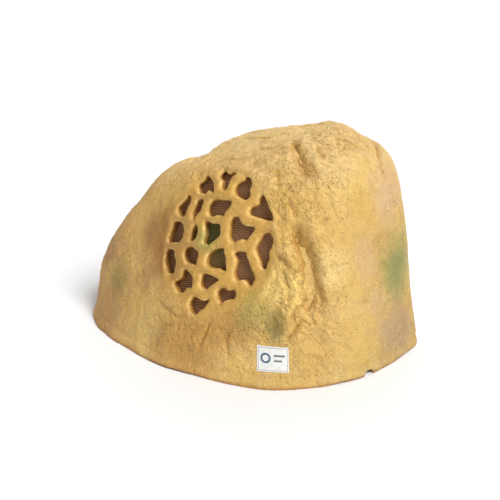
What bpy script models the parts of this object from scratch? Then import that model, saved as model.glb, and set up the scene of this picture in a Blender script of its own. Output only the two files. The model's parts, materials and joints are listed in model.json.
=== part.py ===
"""Rock-shaped outdoor loudspeaker. Units in this file are millimetres until a mesh is made; the scene is in metres, +Z up.

The moulded shell is a faceted, star-shaped body about CENTRE. Its front carries a one-piece grille web with its own
frame: U runs right, V runs up the leaning face, W points out of it. The driver sits behind the web on the W axis.
"""

import bpy
import bmesh
import math
import numpy as np
from mathutils import Matrix, Vector
from mathutils.bvhtree import BVHTree

for old in list(bpy.data.objects):
    bpy.data.objects.remove(old, do_unlink=True)

# ---------------------------------------------------------------- driving dimensions, mm and degrees
CENTRE = np.array([25.1, -7.5, 95.0])  # the point the rock's facets are measured from
BLEND = 16.0  # power that rounds the edges between facets
WALL = 5.0  # moulded wall
WEB_DEPTH = 9.0  # depth of the grille ribs
COLUMNS = 54  # facets round the shell

# Each flat of the rock: heading (0 front, 90 right), tilt above level, distance from CENTRE, wall behind it
FACETS = [
    (-10, 23, 107, WEB_DEPTH),  # grille face
    (20, 17, 111, WEB_DEPTH),  # grille face, right part
    (54, 8, 144, WALL),  # front right corner
    (92, 9, 150, WALL),  # right face
    (122, 8, 182, WALL),  # back right corner
    (160, 4, 142, WALL),  # back
    (200, 18, 141, WALL),
    (245, 25, 127, WALL),
    (280, 22, 195, WALL),  # left side
    (312, 2, 202, WALL),  # left front corner
    (332, 14, 172, WALL),
    (285, 37, 156, WALL),  # left slope
    (325, 69, 124, WALL),  # slope above the grille
    (20, 56, 149, WALL),
    (68, 50, 178, WALL),
    (100, 55, 187, WALL),
    (135, 53, 189, WALL),
    (200, 51, 150, WALL),  # back slope
    (60, 86, 188, WALL),  # top flat
]
# Each hollow or swelling: heading, tilt, half widths in heading and tilt, height
SWELLS = [
    (79, 14, 7, 24, 2.5),  # upright ridge right of the grille
    (64, 12, 6, 22, -3.5),  # fold between grille and ridge
    (76, 54, 9, 7, -2.5),  # hollow under the top
    (102, 12, 12, 8, -2.0),  # hollow on the right face
    (-51, 26, 14, 10, -3.5),  # hollow on the left shoulder
    (-48, -26, 16, 7, 2.0),  # foot of the left corner
    (108, -27, 20, 6, 2.0),  # foot of the right side
    (-64, -11, 10, 9, 4.0),  # left flank
    (-66, 6, 10, 9, 2.2),
    (-84, 50, 13, 7, -7.5),  # dip behind the left shoulder
    (-140, 66, 26, 7, -3.5),  # crown, back left
    (175, 69, 16, 6, -3.5),
    (132, 50, 12, 7, -2.6),
    (124, 28, 10, 9, -1.6),
    (-50, -27, 16, 5, 5.0),  # left foot
    (-34, -30, 9, 4, 3.0),
    (77, -31, 9, 4.5, -2.6),  # right foot
    (113, -27, 8, 5, -2.8),
]

NOTCH_HEADING = 88.0  # cable notch in the bottom rim
NOTCH_WIDTH, NOTCH_HEIGHT = 14.0, 6.3

# Grille web: origin on the face and lean of its normal above level
WEB_ORIGIN = CENTRE + np.array([16.0, -99.0, 40.5])
WEB_LEAN = 22.0
# Corners of each opening between the ribs, (u, v) on the grille plane, seen from outside
OPENINGS = {
    "upper_left": [(-39, 48), (-34, 49), (-29, 49), (-27, 54), (-22, 53), (-17, 53), (-17, 54), (-19, 57), (-24, 63), (-30, 66), (-39, 69), (-41, 64), (-42, 62), (-48, 55)],
    "top": [(-11, 68), (-9, 63), (-4, 58), (1, 61), (1, 67), (0, 71), (1, 76), (3, 78), (5, 79), (1, 80), (-4, 77), (-10, 77), (-18, 80), (-19, 71)],
    "top_right": [(19, 79), (20, 75), (17, 73), (12, 67), (13, 59), (20, 56), (25, 55), (30, 55), (33, 60), (32, 63), (31, 68), (32, 72), (29, 76), (26, 78)],
    "upper_right": [(44, 60), (45, 56), (44, 53), (38, 49), (37, 42), (44, 41), (51, 41), (59, 41), (64, 43), (63, 46), (62, 49), (58, 52), (55, 57), (52, 61), (47, 66)],
    "left_upper": [(-59, 42), (-60, 38), (-65, 33), (-71, 24), (-61, 17), (-52, 20), (-52, 24), (-51, 29), (-50, 34), (-52, 41)],
    "inner_upper_left": [(-39, 39), (-39, 35), (-41, 27), (-36, 17), (-33, 26), (-29, 31), (-29, 37), (-28, 39), (-33, 43)],
    "inner_upper": [(-16, 42), (-18, 35), (-14, 28), (-6, 29), (-3, 31), (6, 32), (9, 33), (8, 36), (11, 41), (14, 46), (14, 47), (11, 50), (0, 48), (-10, 47)],
    "left": [(-70, 9), (-70, 2), (-71, -4), (-69, -15), (-58, -12), (-51, -11), (-47, -6), (-46, -2), (-47, 2), (-48, 5), (-52, 9), (-59, 11)],
    "inner_left": [(-33, 7), (-33, 2), (-31, -5), (-24, -1), (-23, 3), (-23, 7), (-24, 10), (-30, 15)],
    "middle": [(-12, 11), (-10, 7), (-10, 3), (-10, -2), (-2, -2), (1, 2), (6, 7), (9, 12), (9, 15), (8, 17), (7, 20), (3, 23), (-5, 21), (-16, 21)],
    "inner_right": [(20, 34), (18, 27), (20, 20), (21, 13), (27, 8), (31, 12), (36, 15), (40, 14), (42, 16), (44, 21), (46, 25), (47, 28), (47, 30), (42, 30), (35, 29), (30, 32), (26, 36)],
    "right": [(56, 23), (55, 18), (53, 13), (53, 8), (57, 2), (61, -3), (63, -8), (68, -8), (68, -2), (69, 4), (67, 11), (69, 14), (69, 17), (69, 23), (67, 26), (63, 29), (58, 27)],
    "left_lower": [(-68, -23), (-66, -35), (-59, -42), (-53, -47), (-45, -43), (-45, -39), (-45, -35), (-45, -31), (-49, -28), (-52, -24), (-56, -21)],
    "inner_lower_left": [(-35, -14), (-34, -23), (-25, -28), (-18, -27), (-11, -27), (-12, -23), (-12, -20), (-13, -15), (-14, -13), (-18, -12), (-26, -10)],
    "inner_lower": [(10, -3), (4, -8), (1, -14), (2, -23), (10, -24), (15, -23), (19, -22), (24, -23), (27, -22), (27, -21), (26, -19), (24, -14), (22, -9), (19, -4), (18, 0)],
    "right_lower": [(31, -2), (35, -7), (36, -11), (36, -17), (36, -23), (41, -29), (46, -26), (50, -26), (52, -28), (56, -30), (58, -27), (58, -24), (59, -21), (56, -16), (52, -11), (48, -5), (45, -1), (44, 2), (38, 2)],
    "lower_left": [(-27, -35), (-29, -40), (-28, -45), (-31, -48), (-39, -54), (-32, -59), (-27, -62), (-20, -59), (-18, -54), (-11, -52), (-9, -50), (-10, -45), (-11, -41), (-14, -39), (-20, -37)],
    "lower": [(1, -33), (0, -40), (2, -47), (10, -48), (12, -44), (16, -40), (20, -35), (22, -34), (18, -33), (12, -32), (7, -32)],
    "bottom": [(-4, -60), (-7, -66), (-5, -73), (0, -78), (6, -76), (8, -71), (12, -68), (14, -63), (15, -60), (16, -59), (15, -57), (11, -60), (6, -61), (2, -60)],
    "lower_right": [(23, -46), (25, -53), (29, -58), (33, -53), (38, -50), (42, -48), (43, -45), (43, -42), (43, -41), (39, -39), (34, -42), (28, -40)],
}

BAFFLE_SETBACK = 42.0  # mounting face of the driver behind the web origin
DRIVER_BOLT_RADIUS = 78.5
CONE_TRAVEL = 4.0
PLATE_BOTTOM, PLATE_TOP = 24.3, 28.3  # base plate, recessed above the rim
LEDGE_BOTTOM, LEDGE_TOP = 30.3, 36.0
SCREW_INSET = 13.0  # base screws in from the wall
SCREW_HEADINGS = (-30, 30, 90, 150, 210, 270)
GLAND = (126.0, -6.0)
TRANSFORMER = (60.0, 78.0)
TAP_SWITCH = (-18.0, 78.0)
BOARD = (-78.0, 12.0)
GAP = 0.3  # between pieces that touch

# ---------------------------------------------------------------- materials


def material(name, colour, rough=0.6, metal=0.0):
    m = bpy.data.materials.new(name)
    m.use_nodes = True
    b = m.node_tree.nodes["Principled BSDF"]
    b.inputs["Base Color"].default_value = (*colour, 1.0)
    b.inputs["Roughness"].default_value = rough
    b.inputs["Metallic"].default_value = metal
    return m


# ---------------------------------------------------------------- the rock


def heading(az, el):
    """Unit vectors of a heading and a tilt in radians."""
    return np.stack([np.sin(az) * np.cos(el), -np.cos(az) * np.cos(el), np.sin(el)], -1)


def radius(d, inside=0.0):
    """Distance from CENTRE to the surface along unit vectors d. inside=1 gives the inner face of the wall."""
    total = np.zeros(d.shape[:-1])
    for az, el, dist, wall in FACETS:
        n = heading(math.radians(az), math.radians(el))
        total += (np.maximum(d @ n, 0.0) / (dist - inside * wall)) ** BLEND
    r = np.maximum(total, 1e-60) ** (-1.0 / BLEND)
    az = np.degrees(np.arctan2(d[..., 0], -d[..., 1]))
    el = np.degrees(np.arcsin(np.clip(d[..., 2], -1, 1)))
    for a, e, wa, we, h in SWELLS:
        da = ((az - a + 180) % 360 - 180) * np.cos(np.radians(el))
        r = r + h * np.exp(-((da / wa) ** 2) - ((el - e) / we) ** 2)
    return r


def on_level(az, z, inside=0.0):
    """Points of the surface at height z for the headings az, radians."""
    low, high = np.full(az.shape, -1.45), np.full(az.shape, 1.2)
    for _ in range(40):
        mid = (low + high) / 2
        d = heading(az, mid)
        above = radius(d, inside) * d[..., 2] + CENTRE[2] > z
        high = np.where(above, mid, high)
        low = np.where(above, low, mid)
    d = heading(az, (low + high) / 2)
    return CENTRE + d * radius(d, inside)[..., None]


def on_tilt(az, el, inside=0.0):
    d = heading(az, np.full(az.shape, math.radians(el)))
    return CENTRE + d * radius(d, inside)[..., None]


AZ = np.radians(np.arange(COLUMNS) * 360.0 / COLUMNS)


def surface_rows(levels, tilts, inside):
    rows = [on_level(AZ, z, inside) for z in levels] + [on_tilt(AZ, e, inside) for e in tilts]
    for row, z in zip(rows, levels):
        row[:, 2] = z
    top = CENTRE + np.array([0, 0, 1.0]) * radius(np.array([[0.0, 0.0, 1.0]]), inside)[0]
    return rows, top


def cap_faces(start, rows, n, top):
    """Quads over stacked rings of n points that begin at index start, and a fan to the top point."""
    faces = []
    for i in range(rows - 1):
        for j in range(n):
            k = (j + 1) % n
            faces.append((start + i * n + j, start + i * n + k, start + (i + 1) * n + k, start + (i + 1) * n + j))
    last = start + (rows - 1) * n
    faces += [(last + j, last + (j + 1) % n, top) for j in range(n)]
    return faces


# ---------------------------------------------------------------- mesh helpers


def link(name, verts, faces, mat, origin=None, smooth=True, smooth_faces=None):
    """An object from points in mm. Its origin goes to the point given."""
    origin = np.zeros(3) if origin is None else np.asarray(origin, float)
    mesh = bpy.data.meshes.new(name)
    mesh.from_pydata([tuple((np.asarray(v, float) - origin) / 1000) for v in verts], [], [tuple(f) for f in faces])
    bm = bmesh.new()
    bm.from_mesh(mesh)
    bmesh.ops.recalc_face_normals(bm, faces=bm.faces)
    bm.to_mesh(mesh)
    bm.free()
    for i, poly in enumerate(mesh.polygons):
        poly.use_smooth = smooth if smooth_faces is None else smooth_faces(poly)
    obj = bpy.data.objects.new(name, mesh)
    obj.location = Vector(origin / 1000)
    if mat is not None:
        mesh.materials.append(mat)
    bpy.context.collection.objects.link(obj)
    return obj


def frame_at(origin, x, y, z):
    """Local mm to world mm."""
    m = np.eye(4)
    m[:3, 0], m[:3, 1], m[:3, 2], m[:3, 3] = x, y, z, origin
    return m


UPRIGHT = frame_at((0, 0, 0), (1, 0, 0), (0, 1, 0), (0, 0, 1))


def at(x, y, z=0.0):
    m = UPRIGHT.copy()
    m[:3, 3] = (x, y, z)
    return m


def place(m, p):
    p = np.atleast_2d(np.asarray(p, float))
    return p @ m[:3, :3].T + m[:3, 3]


def turned(name, profile, m, mat, segments=32, closed=True, origin=None, phase=0.0, smooth=True):
    """A body of revolution about local Z. Points with radius 0 become one point on the axis."""
    verts, rings = [], []
    for r, z in profile:
        if r < 1e-6:
            rings.append([len(verts)])
            verts.append((0, 0, z))
        else:
            rings.append(list(range(len(verts), len(verts) + segments)))
            for k in range(segments):
                a = 2 * math.pi * k / segments + phase
                verts.append((r * math.cos(a), r * math.sin(a), z))
    faces = []
    pairs = list(zip(rings, rings[1:])) + ([(rings[-1], rings[0])] if closed else [])
    for a, b in pairs:
        for k in range(segments):
            n = (k + 1) % segments
            if len(a) > 1 and len(b) > 1:
                faces.append((a[k], a[n], b[n], b[k]))
            elif len(a) > 1:
                faces.append((a[k], a[n], b[0]))
            elif len(b) > 1:
                faces.append((a[0], b[n], b[k]))
    obj = link(name, place(m, verts), faces, mat, origin, smooth)
    if smooth:
        obj.data.set_sharp_from_angle(angle=math.radians(35))
    return obj


def solid(name, profile, m, mat, **kw):
    """A body of revolution whose profile begins and ends on the axis."""
    return turned(name, profile, m, mat, closed=False, **kw)


def extruded(name, outline, low, high, m, mat, origin=None, smooth=False):
    """A straight prism of a 2-D outline along local Z."""
    n = len(outline)
    verts = [(x, y, low) for x, y in outline] + [(x, y, high) for x, y in outline]
    faces = [tuple(range(n)), tuple(range(n, 2 * n))]
    faces += [(j, (j + 1) % n, n + (j + 1) % n, n + j) for j in range(n)]
    return link(name, place(m, verts), faces, mat, origin, smooth)


def block(name, low, high, m, mat, bevel=0.0, origin=None):
    (x0, y0, z0), (x1, y1, z1) = low, high
    obj = extruded(name, [(x0, y0), (x1, y0), (x1, y1), (x0, y1)], z0, z1, m, mat, origin)
    if bevel:
        mod = obj.modifiers.new("edge", "BEVEL")
        mod.width, mod.segments, mod.limit_method = bevel / 1000, 1, "ANGLE"
    return obj


def cutter(obj):
    obj.hide_render = True
    obj.display_type = "WIRE"
    return obj


def join_meshes(name, objs):
    """One helper mesh from several that don't touch."""
    verts, faces = [], []
    for o in objs:
        start = len(verts)
        verts += [np.array(o.matrix_basis @ v.co) * 1000 for v in o.data.vertices]
        faces += [tuple(start + i for i in p.vertices) for p in o.data.polygons]
    for o in objs:
        bpy.data.objects.remove(o, do_unlink=True)
    return link(name, verts, faces, None, smooth=False)


def cut(obj, tool, name="cut", operation="DIFFERENCE"):
    mod = obj.modifiers.new(name, "BOOLEAN")
    mod.operation, mod.solver, mod.object = operation, "EXACT", tool
    return obj


def drills(name, places, r, low, high, m=UPRIGHT, segments=12):
    """Round holes along local Z at the places given, as one helper."""
    made = []
    for i, (x, y) in enumerate(places):
        ring = [(x + r * math.cos(2 * math.pi * k / segments), y + r * math.sin(2 * math.pi * k / segments)) for k in range(segments)]
        made.append(extruded(f"{name}_{i}", ring, low, high, m, None))
    return cutter(join_meshes(name, made))


# ---------------------------------------------------------------- shell with the grille web
lean = math.radians(WEB_LEAN)
U = np.array([1.0, 0.0, 0.0])
V = np.array([0.0, math.sin(lean), math.cos(lean)])
W = np.array([0.0, -math.cos(lean), math.sin(lean)])
WEB = frame_at(WEB_ORIGIN, U, V, W)
DRIVER_ORIGIN = WEB_ORIGIN - BAFFLE_SETBACK * W
DRIVER = frame_at(DRIVER_ORIGIN, U, V, W)

stone = material("moulded_stone_shell", (0.73, 0.47, 0.13), 0.75)

outer_levels = (0, 5, 16, 32, 52, 74)
outer_tilts = (1, 11, 21, 31, 41, 50, 57, 64, 71, 79)
inner_levels = (0, LEDGE_BOTTOM, LEDGE_TOP, 62)
inner_tilts = (0, 14, 28, 42, 55, 68, 80)
outer, outer_top = surface_rows(outer_levels, outer_tilts, 0.0)
inner, inner_top = surface_rows(inner_levels, inner_tilts, 1.0)
n_out, n_in = len(outer), len(inner)
shell_verts = np.concatenate(outer + [outer_top[None]] + inner + [inner_top[None]])
top_out = n_out * COLUMNS
start_in = top_out + 1
top_in = start_in + n_in * COLUMNS
shell_faces = cap_faces(0, n_out, COLUMNS, top_out)
inner_faces = [tuple(reversed(f)) for f in cap_faces(start_in, n_in, COLUMNS, top_in)]
rim_faces = [(j, start_in + j, start_in + (j + 1) % COLUMNS, (j + 1) % COLUMNS) for j in range(COLUMNS)]
rock_shell = link(
    "rock_shell",
    shell_verts,
    shell_faces + inner_faces + rim_faces,
    stone,
    smooth_faces=lambda p: not all(abs(shell_verts[i][2]) < 1e-6 for i in p.vertices),
)
inner_wall = BVHTree.FromPolygons([Vector(v) for v in shell_verts], inner_faces)


def inside_depth(u, v):
    """How far the inner face of the web lies along W from the web origin at (u, v)."""
    start = WEB_ORIGIN + u * U + v * V - 100.0 * W
    hit, _, _, dist = inner_wall.ray_cast(Vector(start), Vector(W), 400.0)
    return dist - 100.0


def rounded(points, keep=0.24):
    """The outline with every corner cut once."""
    out = []
    n = len(points)
    for i in range(n):
        a, b = np.array(points[i], float), np.array(points[(i + 1) % n], float)
        out += [tuple(a + (b - a) * keep), tuple(b + (a - b) * keep)]
    return out


openings = [extruded(f"opening_{k}", rounded(p), -62.0, 40.0, WEB, None) for k, p in OPENINGS.items()]
cut(rock_shell, cutter(join_meshes("opening_tools", openings)), "openings")

notch_dir = heading(math.radians(NOTCH_HEADING), 0.0)
notch_side = np.array([-notch_dir[1], notch_dir[0], 0.0])
hw = NOTCH_WIDTH / 2
notch_outline = [(-hw, -6), (hw, -6), (hw, 3.0), (hw - 1.5, 5.4), (hw - 4, NOTCH_HEIGHT), (4 - hw, NOTCH_HEIGHT), (1.5 - hw, 5.4), (-hw, 3.0)]
notch_frame = frame_at(np.array([CENTRE[0], CENTRE[1], 0.0]), notch_side, (0, 0, 1), notch_dir)
cut(rock_shell, cutter(extruded("notch_tool", notch_outline, 120.0, 200.0, notch_frame, None)), "notch")

# ---------------------------------------------------------------- cloth, collar and ring behind the web
CLOTH_RADII = (0, 20, 40, 60, 82)
CLOTH_SEGMENTS = 36
cloth_front, cloth_back = [], []
for r in CLOTH_RADII:
    for k in range(1 if r == 0 else CLOTH_SEGMENTS):
        a = 2 * math.pi * k / CLOTH_SEGMENTS
        u, v = r * math.cos(a), r * math.sin(a)
        w = inside_depth(u, v)
        cloth_front.append((u, v, w - 1.0))
        cloth_back.append((u, v, w - 2.0))
n = CLOTH_SEGMENTS
half = len(cloth_front)
cloth_faces = []
for side in (0, half):
    cloth_faces += [(side, side + 1 + j, side + 1 + (j + 1) % n) for j in range(n)]
    for i in range(len(CLOTH_RADII) - 2):
        a, b = side + 1 + i * n, side + 1 + (i + 1) * n
        cloth_faces += [(a + j, b + j, b + (j + 1) % n, a + (j + 1) % n) for j in range(n)]
rim = 1 + (len(CLOTH_RADII) - 2) * n
cloth_faces += [(rim + j, rim + (j + 1) % n, half + rim + (j + 1) % n, half + rim + j) for j in range(n)]
link("grille_cloth", place(WEB, cloth_front + cloth_back), cloth_faces, material("woven_cloth", (0.09, 0.06, 0.035), 0.9))

black_plastic = material("baffle_plastic", (0.03, 0.03, 0.032), 0.55)
n = 48
collar = []
for r, front in ((84.0, True), (88.0, True), (88.0, False), (84.0, False)):
    for k in range(n):
        a = 2 * math.pi * k / n
        u, v = r * math.cos(a), r * math.sin(a)
        w = min(inside_depth(u, v), inside_depth(u * 1.01, v * 1.01), inside_depth(u * 0.99, v * 0.99)) - 0.8 if front else -BAFFLE_SETBACK
        collar.append((u, v, w))
collar_faces = [(i * n + j, i * n + (j + 1) % n, (i + 1) % 4 * n + (j + 1) % n, (i + 1) % 4 * n + j) for i in range(4) for j in range(n)]
collar_obj = link("baffle_collar", place(WEB, collar), collar_faces, black_plastic)
collar_obj.data.set_sharp_from_angle(angle=math.radians(35))

bolt = [(DRIVER_BOLT_RADIUS * math.cos(math.radians(a)), DRIVER_BOLT_RADIUS * math.sin(math.radians(a))) for a in (45, 135, 225, 315)]
ring = turned("baffle_ring", [(73, -0.3), (88, -0.3), (88, -8.3), (73, -8.3)], DRIVER, material("ring_plastic", (0.035, 0.035, 0.037), 0.5), 32)
cut(ring, drills("ring_drills", bolt, 2.3, -9.5, 1.0, DRIVER, 8))

# ---------------------------------------------------------------- woofer
gasket = turned("driver_gasket", [(74, 0), (82.5, 0), (82.5, 1.5), (74, 1.5)], DRIVER, material("foam_gasket", (0.02, 0.02, 0.02), 0.95), 32)
cut(gasket, drills("gasket_drills", bolt, 2.3, -1.0, 2.5, DRIVER, 8))

steel_black = material("black_steel", (0.02, 0.02, 0.022), 0.45, 0.6)
basket = turned(
    "driver_basket",
    [(82.5, 3.3), (82.5, 1.8), (73, 1.8), (71, -1), (64, -14), (56, -24), (47, -24), (45.5, -37.7), (24, -37.7),
     (24, -36.2), (44, -36.2), (45.5, -22.6), (55, -22.6), (62.5, -13), (69.5, 0), (69.5, 3.3)],
    DRIVER, steel_black, 24,
)
windows = []
for k in range(4):
    a = math.radians(90 * k)
    m = DRIVER @ frame_at((0, 0, 0), (math.cos(a), math.sin(a), 0), (-math.sin(a), math.cos(a), 0), (0, 0, 1))
    windows.append(extruded(f"window_{k}", [(57.5, -22), (80, -30), (80, 30), (57.5, 22)], -21.5, -5.0, m, None))
cut(basket, cutter(join_meshes("window_tools", windows)), "windows")
cut(basket, drills("basket_drills", bolt, 2.3, 0.5, 5.0, DRIVER, 8), "bolt_holes")

rubber = material("surround_rubber", (0.012, 0.012, 0.012), 0.6)
turned(
    "woofer_surround",
    [(74, 3.6), (74, 4.3), (69.6, 4.3), (68.4, 7.4), (64.5, 9.3), (60.6, 7.4), (59.4, 4.2), (55.5, 4.2), (55.5, 3.6),
     (60.1, 3.6), (61.3, 6.9), (64.5, 8.6), (67.7, 6.9), (68.9, 3.6)],
    DRIVER, rubber, 24,
)
turned(
    "woofer_cone",
    [(59.3, 3.2), (59.3, 2.5), (56, 2.5), (40, -7.5), (26, -14.6), (13.4, -20), (13.4, -18.9), (26, -13.6), (40, -6.6), (55.6, 3.2)],
    DRIVER, material("cone_polypropylene", (0.045, 0.045, 0.05), 0.4), 24, origin=DRIVER_ORIGIN,
)
turned(
    "woofer_spider",
    [(13.4, -22.4), (13.4, -21.9), (20, -21.9), (25, -20.3), (30, -21.9), (35, -20.3), (40, -21.9), (54, -21.8),
     (54, -22.3), (40, -22.4), (35, -20.8), (30, -22.4), (25, -20.8), (20, -22.4)],
    DRIVER, material("spider_cloth", (0.45, 0.3, 0.1), 0.9), 20,
)
turned("voice_coil_former", [(12.6, -18.2), (13.0, -18.2), (13.0, -47), (12.6, -47)], DRIVER, material("former_film", (0.35, 0.2, 0.06), 0.35), 24, origin=DRIVER_ORIGIN)
turned("voice_coil", [(13.3, -35.5), (13.8, -35.5), (13.8, -46), (13.3, -46)], DRIVER, material("copper_wire", (0.7, 0.25, 0.1), 0.3, 1.0), 24, origin=DRIVER_ORIGIN)
zinc = material("zinc_plate", (0.5, 0.5, 0.52), 0.35, 1.0)
turned("top_plate", [(14.3, -38), (40, -38), (40, -43), (14.3, -43)], DRIVER, zinc, 24)
turned("ferrite_magnet", [(20, -43.3), (44, -43.3), (45, -44.3), (45, -58), (44, -59), (20, -59)], DRIVER, material("ferrite", (0.04, 0.04, 0.045), 0.7), 24)
turned("pole_yoke", [(4.4, -38.2), (12.2, -38.2), (12.2, -59.3), (41, -59.3), (42, -60.3), (42, -64.5), (4.4, -64.5)], DRIVER, material("yoke_zinc", (0.48, 0.48, 0.5), 0.4, 1.0), 24)

# ---------------------------------------------------------------- coaxial tweeter on a post through the pole
solid("tweeter_post", [(0, -64), (4, -64), (4, -8), (9, -8), (9, -6), (0, -6)], DRIVER, material("post_brass", (0.6, 0.42, 0.16), 0.35, 1.0), segments=16)
solid("tweeter_cup", [(0, -5.7), (16.5, -5.7), (17, -5.2), (17, 4), (15.6, 4), (15.6, -3.9), (0, -3.9)], DRIVER, material("cup_steel", (0.35, 0.35, 0.37), 0.4, 1.0), segments=24)
solid("tweeter_magnet", [(0, -3.6), (11.3, -3.6), (11.3, 1.2), (0, 1.2)], DRIVER, material("neodymium", (0.55, 0.55, 0.57), 0.25, 1.0), segments=20)
solid(
    "tweeter_dome",
    [(0, 11), (4, 10.7), (8, 9.6), (11.5, 7.5), (12.9, 5.2), (12.9, 0.0), (12.3, 0.0), (12.3, 5.0), (11, 7.0), (7.7, 9.0), (4, 10.1), (0, 10.4)],
    DRIVER, material("dome_silk", (0.02, 0.02, 0.025), 0.7), segments=24, origin=DRIVER_ORIGIN,
)
turned("tweeter_faceplate", [(13.7, 4.4), (21, 4.4), (22, 5.0), (22, 6.0), (21, 6.8), (14.6, 6.8), (13.7, 6.0)], DRIVER, material("faceplate_plastic", (0.025, 0.025, 0.027), 0.4), 24)
block("terminal_strip", (-50.0, -9, -36.5), (-48.2, 9, -26.5), DRIVER, material("fibre_board", (0.25, 0.12, 0.05), 0.7), 0.0)

screw_steel = material("screw_steel", (0.42, 0.42, 0.44), 0.3, 1.0)


def screw(name, m, head_r, head_low, head_high, shank_r, tip, origin=None):
    """A pan-head screw along local Z with a cross slot left plain; tip is the far end of the shank."""
    up = head_high > tip
    face = head_high if up else head_low
    under = head_low if up else head_high
    edge = face - 0.9 if up else face + 0.9
    return solid(name, [(0, face), (head_r * 0.62, face), (head_r, edge), (head_r, under), (shank_r, under), (shank_r, tip), (0, tip)], m, screw_steel, segments=10, origin=origin)


for k, (x, y) in enumerate(bolt):
    screw(f"driver_screw_{k + 1}", DRIVER @ at(x, y), 3.6, 3.6, 6.0, 1.9, -7.6)

# ---------------------------------------------------------------- base: ledge, seal, plate, screws


def inward(points, by):
    """Moves an outline's points towards its middle, square to the outline."""
    nxt, prv = np.roll(points, -1, 0), np.roll(points, 1, 0)
    t = (nxt - prv)[:, :2]
    t /= np.linalg.norm(t, axis=1)[:, None]
    out = points.copy()
    out[:, 0] -= t[:, 1] * by
    out[:, 1] += t[:, 0] * by
    return out


def band(name, rings, mat):
    """A closed band through four or more rings of equal length."""
    n = len(rings[0])
    verts = np.concatenate(rings)
    m = len(rings)
    faces = [(i * n + j, i * n + (j + 1) % n, (i + 1) % m * n + (j + 1) % n, (i + 1) % m * n + j) for i in range(m) for j in range(n)]
    return link(name, verts, faces, mat, smooth=False)


def level(points, z):
    out = points.copy()
    out[:, 2] = z
    return out


wall_low, wall_high = on_level(AZ, LEDGE_BOTTOM, 1.0), on_level(AZ, LEDGE_TOP, 1.0)
wall_mid = on_level(AZ, 33.0, 1.0)
inner_edge = inward(wall_mid, 24.0)
ledge = band(
    "base_ledge",
    [level(inward(wall_low, 0.9), LEDGE_BOTTOM), level(inward(wall_high, 0.9), LEDGE_TOP), level(inner_edge, LEDGE_TOP), level(inner_edge, LEDGE_BOTTOM)],
    material("ledge_plastic", (0.2, 0.14, 0.07), 0.7),
)
screw_at = []
for h in SCREW_HEADINGS:
    a = math.radians(h)
    p = on_level(np.array([a - 0.02, a, a + 0.02]), 33.0, 1.0)
    t = (p[2] - p[0])[:2] / np.linalg.norm((p[2] - p[0])[:2])
    screw_at.append((p[1][0] - t[1] * SCREW_INSET, p[1][1] + t[0] * SCREW_INSET))
cut(ledge, drills("ledge_drills", screw_at, 2.4, 29.0, 37.0, UPRIGHT, 10))

coarse = wall_mid[::2]
seal_outer, seal_inner = inward(coarse, 4.0), inward(coarse, 8.0)
band("base_seal", [level(seal_outer, 28.6), level(seal_outer, 30.0), level(seal_inner, 30.0), level(seal_inner, 28.6)], material("seal_foam", (0.03, 0.03, 0.03), 0.95))

plate_edge = inward(on_level(AZ[::2], 26.0, 1.0), 3.0)
base_plate = extruded("base_plate", [(p[0], p[1]) for p in plate_edge], PLATE_BOTTOM, PLATE_TOP, UPRIGHT, material("base_plastic", (0.05, 0.048, 0.045), 0.65))
cut(base_plate, drills("plate_drills", screw_at, 2.4, 20.0, 32.0, UPRIGHT, 10), "screw_holes")
cut(base_plate, drills("gland_hole", [GLAND], 8.3, 20.0, 32.0, UPRIGHT, 20), "gland_hole")
cut(base_plate, drills("switch_hole", [TAP_SWITCH], 5.0, 20.0, 32.0, UPRIGHT, 16), "switch_hole")
trafo_screw_at = [(TRANSFORMER[0] - 30, TRANSFORMER[1]), (TRANSFORMER[0] + 30, TRANSFORMER[1])]
cut(base_plate, drills("trafo_holes", trafo_screw_at, 2.3, 20.0, 32.0, UPRIGHT, 10), "transformer_holes")
for k, (x, y) in enumerate(screw_at):
    screw(f"base_screw_{k + 1}", at(x, y), 3.8, 21.6, 24.0, 2.0, 35.2)

# ---------------------------------------------------------------- cable gland, with no cable in it
gl = at(*GLAND)
gland_plastic = material("gland_nylon", (0.03, 0.03, 0.03), 0.5)
turned("gland_body", [(5.4, 33), (7.9, 33), (7.9, 24.0), (11.5, 24.0), (11.5, 18.6), (8.2, 18.6), (8.2, 10.5), (5.4, 10.5)], gl, gland_plastic, 20)
turned("gland_dome_nut", [(8.6, 18.2), (10.8, 18.2), (10.8, 9.2), (8.0, 6.0), (4.4, 6.0), (4.4, 7.5), (7.4, 7.5), (8.6, 9.2)], gl, material("gland_nut_nylon", (0.035, 0.035, 0.035), 0.5), 20)
turned("gland_seal", [(3.0, 8.0), (5.0, 8.0), (5.0, 20), (3.0, 20)], gl, material("gland_rubber", (0.02, 0.02, 0.02), 0.8), 16)
hexagon = [(12.4 * math.cos(math.radians(a)), 12.4 * math.sin(math.radians(a))) for a in range(0, 360, 60)]
nut = extruded("gland_locknut", hexagon, 28.6, 32.6, gl, material("locknut_nylon", (0.03, 0.03, 0.03), 0.5))
cut(nut, drills("locknut_bore", [GLAND], 8.3, 26.0, 36.0, UPRIGHT, 20))

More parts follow.
